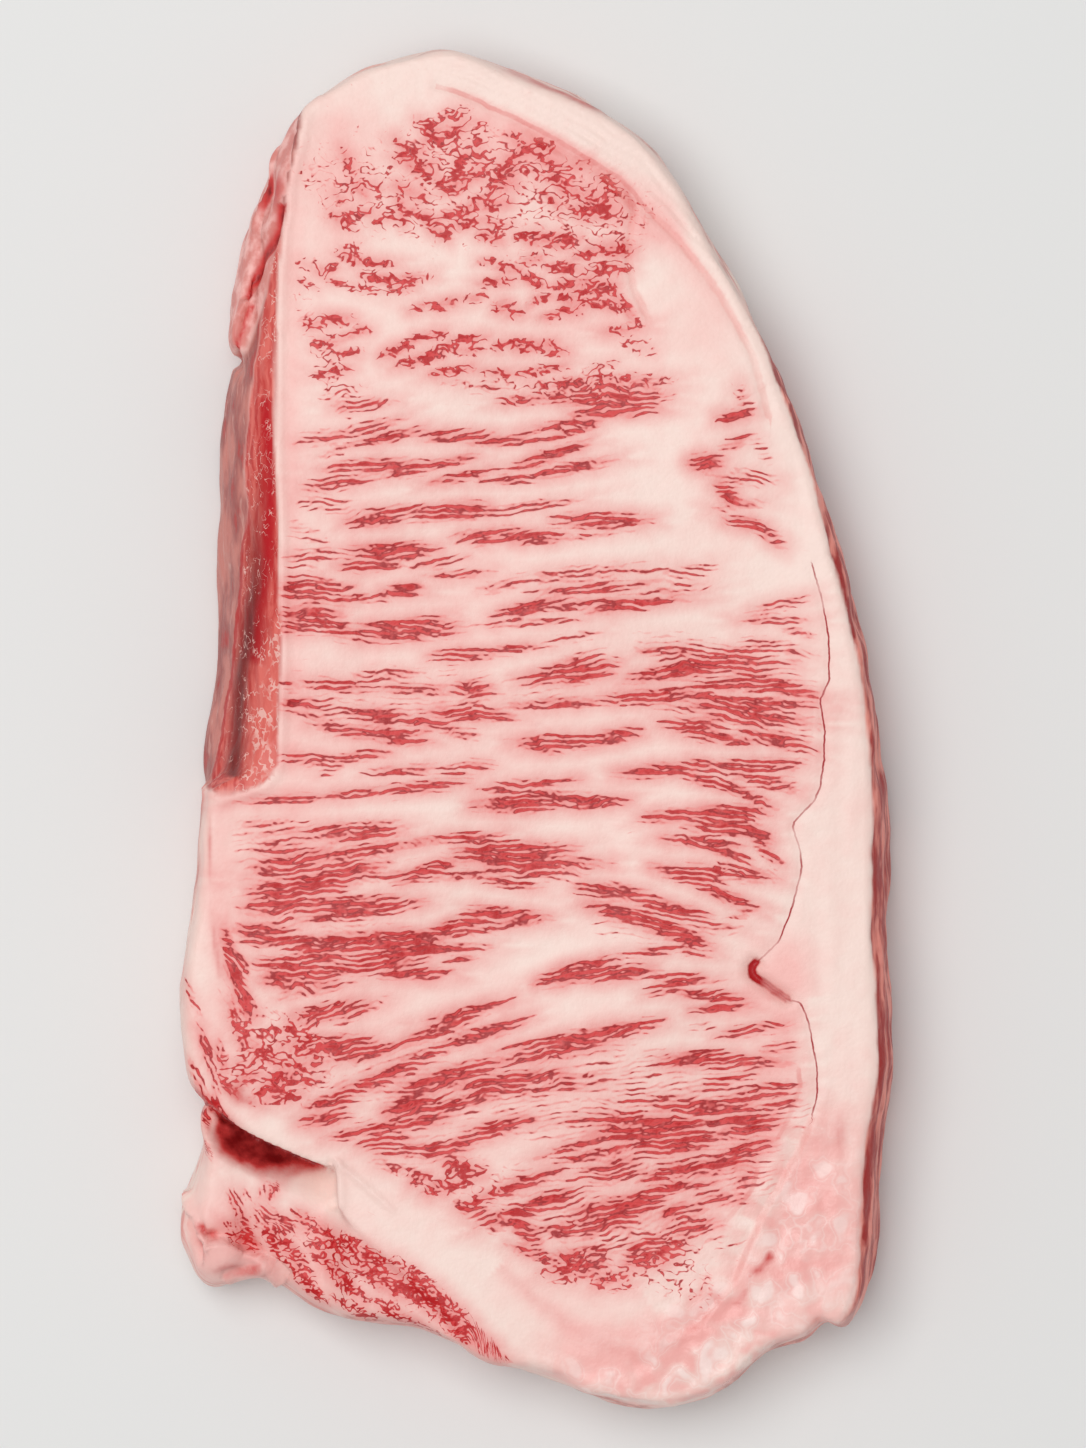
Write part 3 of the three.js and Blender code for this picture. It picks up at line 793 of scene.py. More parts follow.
# %% Lean, tint and fibre direction at every point
fat_share = np.ones(len(x))
tint = np.zeros(len(x))
double_cos = np.full(len(x), 0.05)
double_sin = np.zeros(len(x))
for *oval, strength in bundles:
    angle, reach, outside = bundle_field(*oval)
    fat_share *= 1 - strength * (1 - smooth(reach, 0.35, 1.3))
    tint = np.maximum(tint, strength * (1 - smooth(outside, *TINT_REACH)))
    pull = strength * np.exp(-np.clip(outside, 0, 60) / PULL_REACH)
    double_cos += pull * np.cos(2 * angle)
    double_sin += pull * np.sin(2 * angle)

past_seam = line_field(np.vstack([SEAM, PINK_HEM[1:]]), 30)[0]
outside_muscle = smooth(past_seam, -0.8, 0.2) * smooth(row, 540, 570)
lean = (1 - fat_share) * (1 - outside_muscle)
print("mean lean share of the cut face", round(float(lean[drop < 0.5].mean()), 2))

# %% Turn the fibres of the lobe
LOBE_FIBRES = -42  # degrees
LOBE_PULL = 4.0

lobe_pull = LOBE_PULL * smooth(-y, 82, 86) * smooth(-x - 0.9 * (-y - 84), 10, 20)
double_cos += lobe_pull * np.cos(np.radians(2 * LOBE_FIBRES))
double_sin += lobe_pull * np.sin(np.radians(2 * LOBE_FIBRES))
length = np.hypot(double_cos, double_sin)
double_cos, double_sin = double_cos / length, double_sin / length
print("fibres turned in the lobe at", int((lobe_pull > 0.5 * LOBE_PULL).sum()), "points")

# %% [markdown]
# ## Tones and tissues
# The fat isn't one colour. Where it is thick it is cream, near the lean and in loose tissue it is pink, and
# in a few places it is stained red. The walls differ again: dried brown skin down the right, a tough
# grey-pink silverskin on the left, and next to it a strip where the lean lies bare. Each tissue gets a mask
# from 0 to 1. Most are soft spots and bands along the chalk lines, and noise makes their edges ragged.

# %% Pink and red spots
# Each spot is: column, row, reach across and down in squares, turn in degrees, strength.
PINK_SPOTS = [
    (790, 1235, 75, 95, 0, 0.75), (830, 1150, 40, 60, 0, 0.4), (700, 1350, 120, 40, 15, 0.5),
    (600, 1370, 60, 30, -10, 0.75), (215, 1245, 50, 50, 0, 0.9), (330, 1290, 120, 40, -25, 0.55),
    (290, 450, 14, 330, 0, 0.7), (215, 900, 22, 130, 0, 0.6), (300, 880, 70, 200, 0, 0.4),
    (335, 190, 40, 90, -10, 0.6), (640, 215, 45, 28, -35, 0.9), (560, 150, 120, 30, -30, 0.6),
    (680, 250, 22, 90, 18, 0.45), (560, 330, 160, 40, 0, 0.35), (720, 480, 45, 110, 0, 0.35),
    (650, 760, 150, 120, 0, 0.3), (780, 975, 36, 40, 0, 0.8), (620, 1150, 200, 120, 0, 0.35),
    (790, 1060, 30, 90, 0, 0.4), (420, 1000, 160, 60, 15, 0.3), (400, 640, 120, 160, 0, 0.3),
    (640, 1330, 90, 16, 8, 0.6), (500, 70, 70, 12, -20, 0.5), (590, 1290, 70, 30, 0, 0.4),
    (820, 1240, 45, 80, 0, 0.5), (480, 160, 150, 60, 0, 0.5), (700, 265, 14, 60, 30, 0.5),
]
RED_SPOTS = [
    (520, 66, 60, 8, -28, 0.8), (575, 90, 26, 7, -35, 0.7), (268, 190, 14, 20, -20, 0.95),
    (198, 1230, 4, 7, 25, 0.65), (210, 1237, 9, 5, -15, 0.7), (195, 1251, 5, 13, 25, 0.6),
    (183, 1232, 4, 34, 0, 0.12), (230, 1269, 14, 5, -20, 0.2), (262, 1272, 14, 4, -10, 0.3),
    (236, 1228, 7, 16, 15, 0.3), (246, 1244, 12, 8, -20, 0.35), (222, 1272, 16, 5, 10, 0.3),
    (630, 203, 5, 18, 22, 0.5), (590, 164, 40, 3, -28, 0.3), (840, 1130, 8, 26, 0, 0.3),
    (772, 1230, 12, 26, 25, 0.15), (200, 1100, 5, 12, 20, 0.6), (220, 1117, 16, 5, -42, 0.55),
    (238, 1090, 10, 18, 0, 0.35), (231, 335, 6, 22, 12, 0.35), (215, 560, 4, 24, 5, 0.4),
    (217, 640, 4, 20, 5, 0.35), (246, 1100, 40, 8, -25, 0.25), (210, 850, 3, 42, 2, 0.4),
    (216, 950, 3, 36, 8, 0.35),
]


def spotted(spots):
    """The spots of a list added up, each with its own strength."""
    return sum(strength * spot(*place) for *place, strength in spots)


print(len(PINK_SPOTS), "pink spots and", len(RED_SPOTS), "red ones")

# %% Where the walls are
below_slit = past_slit(x, y)
sideways = 1 - smooth(normals[:, 2], 0.25, 0.7)
own_top = np.where(below_slit > 2, lobe_height(x, y), eye_height(x, y))
depth = own_top - z  # how far each point lies below the top face of its own slab
down_wall = sideways * smooth(depth, 1.5, 6.0)
on_wall = smooth(drop, 0.25, 0.9)
print("the walls take up", round(float((down_wall > 0.5).mean() * 100)), "% of the points")

# %% Pink fat
lumpy = spot(800, 1225, 70, 115) + spot(640, 1385, 110, 34) + spot(720, 1330, 60, 50)
lumpy = np.clip(lumpy, 0, 1) * (1 - 0.8 * down_wall)
pink = spotted(PINK_SPOTS) + 0.25 * wobble(14, seed=1) + 0.15 * wobble(5, seed=2)
pink += 0.5 * lumpy * wobble(4.5, seed=16) - 0.7 * near_membrane * smooth(past_membrane, 0.3, 1.5)
pink = np.clip(pink - 0.8 * band(PALE_BAND, 2.8) + 0.5 * band(BOTTOM_BLUSH, 2.6), 0, 1)
print("mean pinkness", round(float(pink.mean()), 2))

# %% The pocket under the rim: its red stain and painted shade
# It runs from the floor of the slit up to the rim, and its two ends are ragged where they go down the wall.
# Its dark red is partly the lean's own colour and partly painted shade of the recess under the overhanging
# rim.
above_floor = line_field(SLIT_FLOOR, 30)[0] + 0.5 * wobble(2.5, seed=21)
under_rim = sideways * smooth(drop, 0.6, 6.0) * (1 - smooth(below_slit, 1.0, 2.5))
right_end = -x - under_rim * (5 + 5 * wobble(3, seed=31))
left_end = x - 0.45 * (y + 74) - under_rim * 2.5 * wobble(2.5, seed=32)
pocket_stain_and_shade = smooth(drop, 0.3, 1.0) * smooth(above_floor, -3.2, 3.8) * smooth(below_slit, -14, -9)
pocket_stain_and_shade *= smooth(right_end, 36.0, 37.5) * smooth(left_end, -59.5, -57.0)
print("the pocket covers", int((pocket_stain_and_shade > 0.5).sum()), "points")

# %% Red stains, and painted shade in the pocket and under the nub's folds
stain_and_shade = spotted(RED_SPOTS) * (1 - down_wall) + 1.4 * pocket_stain_and_shade
stain_and_shade += band(FLAP_CREVICE, 0.8) * (1 - smooth(depth, 7, 14)) + 0.6 * band(FLAP_HEM, 0.5)
stain_and_shade += np.clip(0.3 + 0.8 * wobble(2.5, seed=28), 0, 1) * band(FAT_BRUISE, 1.1)
# The bands under the nub's overlap and along its tuck are painted shadow in those creases; the tuck's band is
# partly its own red line.
stain_and_shade += 0.16 * band(BOTTOM_BLUSH, 1.6) + 0.25 * band(OVERLAP_SHADOW, 0.5) + 0.3 * band(NUB_TUCK, 0.4)
stain_and_shade = np.clip(stain_and_shade, 0, 1)
print("stains cover", int((stain_and_shade > 0.5).sum()), "points")

# %% The left wall: bare lean, the flap and the silverskin
STRIP_END = 786  # the row where the wall's tissues give way to fat
FLAP_START = 340  # the row where the flap begins to thin out

ragged_row = row + 14 * down_wall * wobble(5, seed=27)
left_wall = smooth(-left_edge, 0.0, 0.5) * smooth(-x, 38, 41)
left_wall *= smooth(ragged_row, 96, 112) * smooth(-ragged_row, -STRIP_END - 14, -STRIP_END)
bare = left_wall * smooth(silver_edge + 0.4 * wobble(3, seed=3), -0.3, 0.3) * smooth(row, 215, 260)
flap_zone = left_wall * (1 - bare) * smooth(-row, -FLAP_START - 30, -FLAP_START)
flap_zone *= smooth(silver_edge + 0.04 * (row - 300), 0.5, -1.0)
silver = left_wall * (1 - bare) * (1 - flap_zone)
print("bare lean covers", int((bare > 0.5).sum()), "points and silverskin", int((silver > 0.5).sum()))

# %% The tones of the bare lean
dark_band = bare * band(DARK_BAND, 1.7) * smooth(row, 430, 640)
bright_band = bare * band(BRIGHT_BAND, 1.5)
froth = smooth(line_field(FROTH_EDGE, 30)[0], -1.0, 2.0) * smooth(row, 590, 650)
froth = bare * (froth + 0.25 + 0.3 * smooth(-row, -420, -330))
print("froth covers", int((froth > 0.5).sum()), "points")

# %% Dried skin
# It covers the right wall, lies in patches on the others, and spills a little past the end of the strip.
right_wall = smooth(normals[:, 0], 0.05, 0.35) * smooth(x - 0.12 * y, 25, 35) * smooth(row, 200, 320)
skin_drop = drop + 0.25 * wobble(2.5, seed=4) + 0.15 * wobble(9, seed=5)
skin = right_wall * smooth(skin_drop, 0.35, 1.0) * smooth(-row, -1345, -1290)
patches = smooth(wobble(12, seed=23) + 0.5 * wobble(4, seed=24), -0.05, 0.35) * smooth(depth, 0.8, 3.0)
patches *= sideways * smooth(x + 0.5 * np.abs(y), -5, 20)
spill = smooth(wobble(8, seed=33) + 0.4 * wobble(3, seed=34), -0.4, 0.3) * down_wall * smooth(-x, 45, 50)
spill *= smooth(row, STRIP_END - 6, STRIP_END + 4) * smooth(-row, -960, -800)
skin = np.maximum(skin, np.maximum(0.55 * patches, 0.7 * spill) * (1 - left_wall))
print("dried skin covers", int((skin > 0.5).sum()), "points")

# %% [markdown]
# ## Relief
# Every fold that casts a shadow is real geometry: the red crevice in the seam, the soft ridges along the fat
# cap, lumps in the loose fat, the frothy bare lean, and the creases of the lobe. Brushes could sculpt them,
# but here each is one row of a list, on the same chalk lines and masks as the colours, so the two always
# agree. All of them push the points along their normals by fractions of a millimetre.

# %% Grooves, welts and folds along the chalk lines
# Each is: line, height and half its width in mm, and how far to the right of the line it lies.
LINE_RELIEF = (
    (SEAM, -0.22, 0.55, 0.0), (LEFT_EDGE, 0.35, 0.7, 0.5), (CREASE, -0.9, 0.7, 0.0), (CREASE, 0.4, 1.0, 1.4),
    (NUB_PLEAT, 1.3, 0.55, 0.0), (NUB_SLOT, -1.3, 0.6, 0.0), (RIM_OVAL, 0.5, 0.45, 0.0),
    (RIM_WELT, 0.35, 0.5, 0.0), (FLAP_CREVICE, -1.4, 1.0, 0.0), (FLAP_HEM, -0.8, 0.7, 0.0),
    (MEMBRANE, -0.35, 0.5, 0.0), (INNER_MEMBRANE, -0.3, 0.5, 0.0), (CAP_LINE, -0.3, 0.5, 0.0),
)
# Each is: line, and height and reach in mm.
OVERLAPS = ((NUB_OVERLAP, 2.0, 2.2), (NUB_TUCK, 1.2, 1.6), (PINK_HEM, -0.35, 1.6))
CREVICE_DEPTH = 1.5  # mm
CREVICE_WIDTH = 1.1  # mm, half of it
RIM_FOLD_HEIGHT = 0.3  # mm, at its upper end

relief = sum(height * band(line, half_width, beside) for line, height, half_width, beside in LINE_RELIEF)
relief += sum(overlap(*fold) for fold in OVERLAPS)
relief += -CREVICE_DEPTH * near_crevice * np.exp(-((crevice / CREVICE_WIDTH) ** 2))
relief += RIM_FOLD_HEIGHT * band(RIM_FOLD, 0.6) * (1 - line_field(RIM_FOLD)[2])
print("folds from", round(float(relief.min()), 2), "to", round(float(relief.max()), 2), "mm")

# %% Dimples and knobs
# Each is: column, row, reach across and down in squares, turn in degrees, height in mm.
SPOT_RELIEF = (
    (198, 1231, 4, 6, 0, -1.3), (211, 1238, 8, 4, 0, -1.5), (195, 1252, 5, 10, 0, -1.6),
    (225, 1262, 20, 10, -15, 0.6), (220, 1117, 14, 5, -42, -0.3), (263, 258, 6, 11, -15, 0.8),
    (233, 359, 4, 14, 20, -1.0),
)
relief += spotted(SPOT_RELIEF)
print(len(SPOT_RELIEF), "dimples and knobs")

# %% Unevenness of each tissue
LEAN_SAG = 0.10  # mm that lean sinks below the fat

cap_zone = smooth(seam, 1.0, 5.0) * smooth(x, 20, 35)
lobe_end = smooth(-x, 50, 54) * smooth(-y, 78, 84)
plain_wall = down_wall * (1 - smooth(-x, 46, 52) * smooth(-y, 66, 72))
EVEN = (1, 1, 1)
# Each is: where, height and size in mm, seed, and how far it is stretched along X, Y and Z.
WAVES = (
    (1.0, 0.12, 11, 10, EVEN), (1.0, 0.05, 2.2, 11, EVEN), (on_wall, 0.35, 7, 9, EVEN),
    (bare, 0.30, 1.6, 7, (1, 3, 1)), (silver, 0.25, 5, 8, (1, 3, 1)), (cap_zone, 0.20, 2.6, 6, (1, 9, 1)),
    (flap_zone, 0.5, 4, 14, (1, 2, 1)), (lobe_end, 0.6, 4.5, 15, EVEN), (skin, 0.55, 6, 12, (1, 1, 2)),
    (plain_wall, 0.7, 10, 25, EVEN), (plain_wall, 0.4, 2.6, 26, (4, 4, 1)),
    (lumpy, 0.6, 6, 13, EVEN), (lumpy, 0.35, 2.8, 17, EVEN),
)
relief += sum(where * height * wobble(size, seed, stretch) for where, height, size, seed, stretch in WAVES)
relief -= LEAN_SAG * lean * smooth(faces_up, 0.5, 0.9)
print(len(WAVES), "layers of unevenness")

# %% Ridges along the fat cap
RIDGE_HEIGHT = 0.2  # mm
RIDGE_TURN = 3.6  # radians of the wave for each mm, so that there is a ridge every 1.75 mm

ridges = np.sin(past_membrane * RIDGE_TURN + 3 * wobble(6, seed=29))
ridges *= (0.6 + 0.6 * wobble(4, seed=30)) * near_membrane * smooth(past_membrane, 0.4, 1.2)
relief += RIDGE_HEIGHT * ridges * (1 - on_wall)
print("ridges cover", int((np.abs(ridges) > 0.3).sum()), "points")

# %% Push the points along their normals
off_floor = smooth(z, 0.3, 3.0)
points += normals * (relief * off_floor)[:, None]
points = np.clip(points, np.array(steak_low) / MM, np.array(steak_high) / MM)
write_points(steak.data, points)
steak.data.shade_smooth()
print("relief from", round(float(relief.min()), 2), "to", round(float(relief.max()), 2), "mm")

# %% [markdown]
# ## Handing the layout to the material
# The masks travel with the mesh as named attributes. A thin line is stored as a signed distance, and not as a
# painted stripe: a distance changes evenly over a triangle, so the material can cut a line from it that is
# sharper than the mesh is fine.

# %% Store the masks
def store(name, *values):
    """One value a point makes a number attribute, three make a vector."""
    kind, field = ("FLOAT", "value") if len(values) == 1 else ("FLOAT_VECTOR", "vector")
    attribute = steak.data.attributes.new(name, kind, "POINT")
    attribute.data.foreach_set(field, np.column_stack(values).astype(np.float32).ravel())


in_lobe = smooth(below_slit, 3, 9) * smooth(-x, 5, 12)
curl = 0.9 * smooth(y, 52, 72) + 0.8 * spot(275, 1060, 55, 60) + 0.6 * spot(450, 1190, 60, 30)
curl = np.clip(curl + 0.5 * smooth(-y, 84, 96) + 0.28 * in_lobe, 0, 1)

MASKS = {
    "lean": lean * (1 - 0.9 * down_wall), "tint": np.clip(tint + 0.4 * lean * curl, 0, 1),
    "pink": pink, "stain_and_shade": stain_and_shade, "lumpy": lumpy, "wall": down_wall, "in_lobe": in_lobe,
    "silver": silver, "flap": flap_zone, "bare": bare, "skin": skin,
}
for name, mask in MASKS.items():
    store(name, mask)
store("fibre", double_cos, double_sin, curl)
store("bare_tone", dark_band, bright_band, froth)
print("masks:", ", ".join(MASKS))

# %% Store the thin lines
def nearest_line(lines):
    """Signed distance to whichever line is nearest to each point, and how near it is."""
    fields = [line_field(line) for line in lines]
    best = np.argmax([near for _, near, _ in fields], axis=0)
    return [np.choose(best, [field[k] for field in fields]) for k in range(2)]


LINES = {
    "seam": (seam, near_seam),
    "folds": (crevice, near_crevice),
    "edges": nearest_line([*MUSCLE_EDGES, MEMBRANE]),
    "inner_edges": nearest_line([INNER_MEMBRANE, CAP_LINE, PINK_HEM]),
    "silver_edge": (silver_edge, left_wall * smooth(row, 500, 540)),
}
for name, (signed, near) in LINES.items():
    store(name, signed, near, np.zeros(len(near)))
print("lines:", ", ".join(LINES))

# %% [markdown]
# ## Laying the surface out flat
# The material needs no layout of its own, but other programs take their colours from a picture wrapped
# round the mesh. Seen from above, the cut face lies flat already, so it gets the largest area of that picture
# just as it is. The underside takes a smaller one, the walls are unrolled into four strips, and what lies
# under the rim or inside the slit goes into areas of its own, so that nothing shares its place with the face
# above.

# %% Sort the faces
FACING = 0.5  # a face whose normal points up or down by more than this is no wall
HANGING = 8  # mm, a face that looks down from above this height is an overhang
SLIT_CORNER = (-20, -35)  # mm, only faces beyond both of these can lie under the rim

mesh = steak.data
count = len(mesh.polygons)
centres = np.empty(count * 3)
mesh.polygons.foreach_get("center", centres)
centres = centres.reshape(-1, 3) / MM
facing = np.empty(count * 3)
mesh.polygons.foreach_get("normal", facing)
facing = facing.reshape(-1, 3)[:, 2]
sides = np.empty(count, dtype=np.int32)
mesh.polygons.foreach_get("loop_total", sides)

upward = facing > FACING
downward = facing < -FACING
overhang = downward & (centres[:, 2] > HANGING)
covered = np.zeros(count, dtype=bool)
shell = bvhtree.BVHTree.FromPolygons([v.co for v in mesh.vertices], [p.vertices[:] for p in mesh.polygons])
for number in np.flatnonzero(upward & (centres[:, :2] < SLIT_CORNER).all(axis=1)):
    start = Vector(centres[number] * MM) + Vector((0, 0, 0.1 * MM))
    covered[number] = shell.ray_cast(start, Vector((0, 0, 1)))[0] is not None
print("faces up:", int(upward.sum()), "with", int(covered.sum()), "of them covered")
print("faces down:", int(downward.sum()), "with", int(overhang.sum()), "of them overhanging")

# %% Measure the walls round
HUB = np.array([0.0, -8.0])  # mm, the middle that the walls are measured round
SPOKES = 720
INNER_WALL = 6  # mm inside the silhouette, a wall face belongs to the slit

from_hub = centres[:, :2] - HUB
bearing = np.arctan2(from_hub[:, 1], from_hub[:, 0])
reach = np.hypot(from_hub[:, 0], from_hub[:, 1])
spoke = ((bearing + np.pi) / (2 * np.pi) * SPOKES).astype(int) % SPOKES
silhouette = np.zeros(SPOKES)
np.maximum.at(silhouette, spoke, reach)
spoke_angle = (np.arange(SPOKES + 1) + 0.5) / SPOKES * 2 * np.pi - np.pi
ring = np.append(silhouette, silhouette[0])
ring = np.column_stack([np.cos(spoke_angle) * ring, np.sin(spoke_angle) * ring])
travelled = np.append(0, np.cumsum(np.hypot(*np.diff(ring, axis=0).T)))
girth = travelled[-1]
inner_wall = (silhouette[spoke] - reach > INNER_WALL) & ~upward & ~downward


def round_the_edge(where):
    """How far round the edge a place is, in mm."""
    angle = np.arctan2(where[:, 1] - HUB[1], where[:, 0] - HUB[0])
    angle = (angle - spoke_angle[0]) % (2 * np.pi) + spoke_angle[0]
    return np.interp(angle, spoke_angle, travelled)


print("the walls are", round(girth), "mm round")

# %% Unroll the walls into strips
FULL_SCALE = 0.98 / 240  # of the picture's width for each mm of the cut face
WALL_SCALE = 0.72 * FULL_SCALE
INNER_SCALE = 0.5 * FULL_SCALE
STRIPS = 4
STRIP_LEFT = 0.505
STRIP_LOW = 0.540  # the lower edge of the first strip
STRIP_STEP = 0.086  # from one strip up to the next
INNER_LOW = 0.900
FIRST_X, FIRST_Y = -63, -120  # mm, the least X and Y of the steak

corner = np.empty(len(mesh.loops), dtype=np.int32)
mesh.loops.foreach_get("vertex_index", corner)
face = np.repeat(np.arange(count), sides)
where = points[corner]
layout = np.empty((len(corner), 2))
centre_round = round_the_edge(centres)
strip = np.minimum((centre_round / girth * STRIPS).astype(int), STRIPS - 1)
from_centre = (round_the_edge(where) - centre_round[face] + girth / 2) % girth - girth / 2
along_strip = centre_round[face] - strip[face] * girth / STRIPS + from_centre
layout[:, 0] = STRIP_LEFT + along_strip * WALL_SCALE
layout[:, 1] = STRIP_LOW + strip[face] * STRIP_STEP + where[:, 2] * WALL_SCALE
inside = inner_wall[face]
layout[inside, 0] = STRIP_LEFT + (where[inside, 1] - FIRST_Y) * INNER_SCALE
layout[inside, 1] = INNER_LOW + where[inside, 2] * WALL_SCALE
print(STRIPS, "strips of", round(girth / STRIPS), "mm")

# %% Lay the flat faces beside them
# Each flat area is: its left and lower corner, the least X that goes there, and its share of the full scale.
FLAT_AREAS = (
    (upward, 0.010, 0.010, FIRST_Y, 1.0), (downward, 0.010, 0.535, FIRST_Y, 0.49),
    (overhang, 0.010, 0.805, FIRST_Y, 0.36), (covered, 0.385, 0.805, -106, 0.40),
)
for chosen, left, low, first_y, share in FLAT_AREAS:
    area = chosen[face]
    layout[area, 0] = left + (where[area, 1] - first_y) * FULL_SCALE * share
    layout[area, 1] = low + (where[area, 0] - FIRST_X) * FULL_SCALE * share
flat_map = mesh.uv_layers.new(name="OFBake")
flat_map.data.foreach_set("uv", layout.astype(np.float32).ravel())
print("flat layout from", layout.min(axis=0).round(3), "to", layout.max(axis=0).round(3))

# %% [markdown]
# ## Nodes
# The material is built in code, so a few helpers keep it readable: one adds a node and fills its sockets with
# values or wires, and the rest are the small sums that every mask needs.

# %% Adding nodes
def put(tree, kind, sockets=None, **settings):
    """Adds a node. Sockets maps a socket's name or number to a value or to another node's output."""
    made = tree.nodes.new("ShaderNode" + kind)
    for name, value in settings.items():
        setattr(made, name, value)
    for name, value in (sockets or {}).items():
        if isinstance(value, bpy.types.NodeSocket):
            tree.links.new(value, made.inputs[name])
        else:
            made.inputs[name].default_value = value
    return made


def attribute(tree, name, output="Fac"):
    """A mask that was stored on the mesh."""
    return put(tree, "Attribute", attribute_name=name).outputs[output]


def colour(red, green, blue):
    """A screen colour, 0 to 255, as the linear light values that a shader takes."""
    light = [(c / 255 / 12.92) if c < 11 else ((c / 255 + 0.055) / 1.055) ** 2.4 for c in (red, green, blue)]
    return (*light, 1.0)


# %% Sums with numbers
def calc(tree, operation, first, second=0.0, third=0.0):
    return put(tree, "Math", {0: first, 1: second, 2: third}, operation=operation).outputs[0]


def times(tree, first, second):
    return calc(tree, "MULTIPLY", first, second)


def linear(tree, value, factor, extra):
    """Value times factor, plus extra."""
    return calc(tree, "MULTIPLY_ADD", value, factor, extra)


def off(tree, value, target):
    """How far a value is from a target, up or down."""
    return calc(tree, "ABSOLUTE", calc(tree, "SUBTRACT", value, target))


def inverse(tree, value):
    return calc(tree, "SUBTRACT", 1.0, value)


def clamped(tree, value):
    return put(tree, "Clamp", {0: value}).outputs[0]


def ease(tree, value, start, end):
    """0 before start, 1 after end. Start may be above end."""
    sockets = {"Value": value, "From Min": start, "From Max": end}
    return put(tree, "MapRange", sockets, interpolation_type="SMOOTHSTEP").outputs[0]


def mix(tree, share, first, second):
    """A mix of two numbers."""
    return put(tree, "Mix", {0: share, 2: first, 3: second}).outputs[0]


# %% Sums with colours and places
def blend(tree, share, first, second):
    """A mix of two colours."""
    return put(tree, "Mix", {0: share, 6: first, 7: second}, data_type="RGBA").outputs[2]


def lay(tree, shade, share, strength, tone):
    """The shade with a tone laid over it."""
    return blend(tree, times(tree, share, strength), shade, tone)


def vector_calc(tree, operation, first, second=(0, 0, 0)):
    return put(tree, "VectorMath", {0: first, 1: second}, operation=operation).outputs[0]


def stretched(tree, where, factors):
    """The place with each axis multiplied. A factor below 1 draws noise out along that axis."""
    return vector_calc(tree, "MULTIPLY", where, factors)


def scaled(tree, vector, factor):
    return put(tree, "VectorMath", {0: vector, "Scale": factor}, operation="SCALE").outputs[0]


def grain(tree, where, size, detail=2.0, output=0):
    """Noise with features of that size in mm. Output 0 is a number about 0.5 and 1 is a colour."""
    sockets = {"Vector": where, "Scale": 1 / size, "Detail": detail}
    return put(tree, "TexNoise", sockets).outputs[output]


def uneven(tree, where, size):
    """Plain noise about 0."""
    return calc(tree, "SUBTRACT", grain(tree, where, size, detail=1), 0.5)


def pushed(tree, where, size, amount):
    """The place, pushed about by noise of that size, so that what is drawn there wavers."""
    push = vector_calc(tree, "SUBTRACT", grain(tree, where, size, output=1), (0.5, 0.5, 0.5))
    return vector_calc(tree, "ADD", where, scaled(tree, push, amount))


# %% Node groups
SOCKETS = {"number": "NodeSocketFloat", "vector": "NodeSocketVector"}


def new_group(name, takes, gives):
    """An empty node group with named sockets, and its input and output nodes."""
    group = bpy.data.node_groups.new(name, "ShaderNodeTree")
    for direction, sockets in (("INPUT", takes), ("OUTPUT", gives)):
        for socket, kind in sockets.items():
            group.interface.new_socket(socket, in_out=direction, socket_type=SOCKETS[kind])
    return group, group.nodes.new("NodeGroupInput").outputs, group.nodes.new("NodeGroupOutput").inputs


def placed(tree, group, **sockets):
    """Places a node group, fills its sockets and returns its outputs."""
    return put(tree, "Group", sockets, node_tree=group).outputs


print("sockets can be:", ", ".join(SOCKETS))


# %% [markdown]
# ## Marbling
# Close to, a bundle of lean is a sheaf of strands that taper at both ends. Each is bright red inside, with a
# thin dark line round it and a pink blush in the fat beside it. Stretched noise makes smears instead. Gabor
# noise is made of short wave packets that each have a direction and a spacing, which is just what strands
# are. Long packets make the straight strands of the middle. Short ones that lose their direction, with the
# thin contours of a plain noise between them, make the curls of the narrow end.

# %% Waves along the fibres
LONG_PACKET = 6.0  # mm, the length of one straight strand
STRAND_GAPS = (0.95, 1.65)  # mm from strand to strand, in two layers
STRAND_SHARES = (0.58, 0.42)  # how much each layer counts
SHORT_PACKET = 2.2  # mm, the length of one curl
CURL_GAP = 0.95  # mm from curl to curl
CURL_SIZE = 1.9  # mm across one mesh of the lace that joins them


def strands(tree, where, angle, length, gap, looseness=0.0):
    """Wave packets along the fibres, from 0 to 1. The looser they are, the more they lose their direction."""
    sockets = {
        "Vector": where,
        "Scale": 1 / length,
        "Frequency": length / gap,
        "Anisotropy": 1.0 - looseness,
        "Orientation 2D": calc(tree, "ADD", angle, np.pi / 2),
    }
    return put(tree, "TexGabor", sockets).outputs["Value"]


def sheaf(tree, where, angle):
    """The layers of long strands, added up."""
    total = 0.0
    for gap, share in zip(STRAND_GAPS, STRAND_SHARES):
        total = linear(tree, strands(tree, where, angle, LONG_PACKET, gap), share, total)
    return total


def lace(tree, where):
    """Thin curly lines, drawn along the middle level of a plain noise."""
    pattern = grain(tree, stretched(tree, where, (0.75, 1.2, 1.0)), CURL_SIZE, detail=1)
    return inverse(tree, ease(tree, off(tree, pattern, 0.5), 0.0, 0.11))


# %% Straight strands and curls
WAVER = (4.0, 0.95)  # radians that a strand strays from its bundle: for full curl, and for any strand
PUSH = (2.0, 1.5)  # mm that it is pushed aside, in the same way


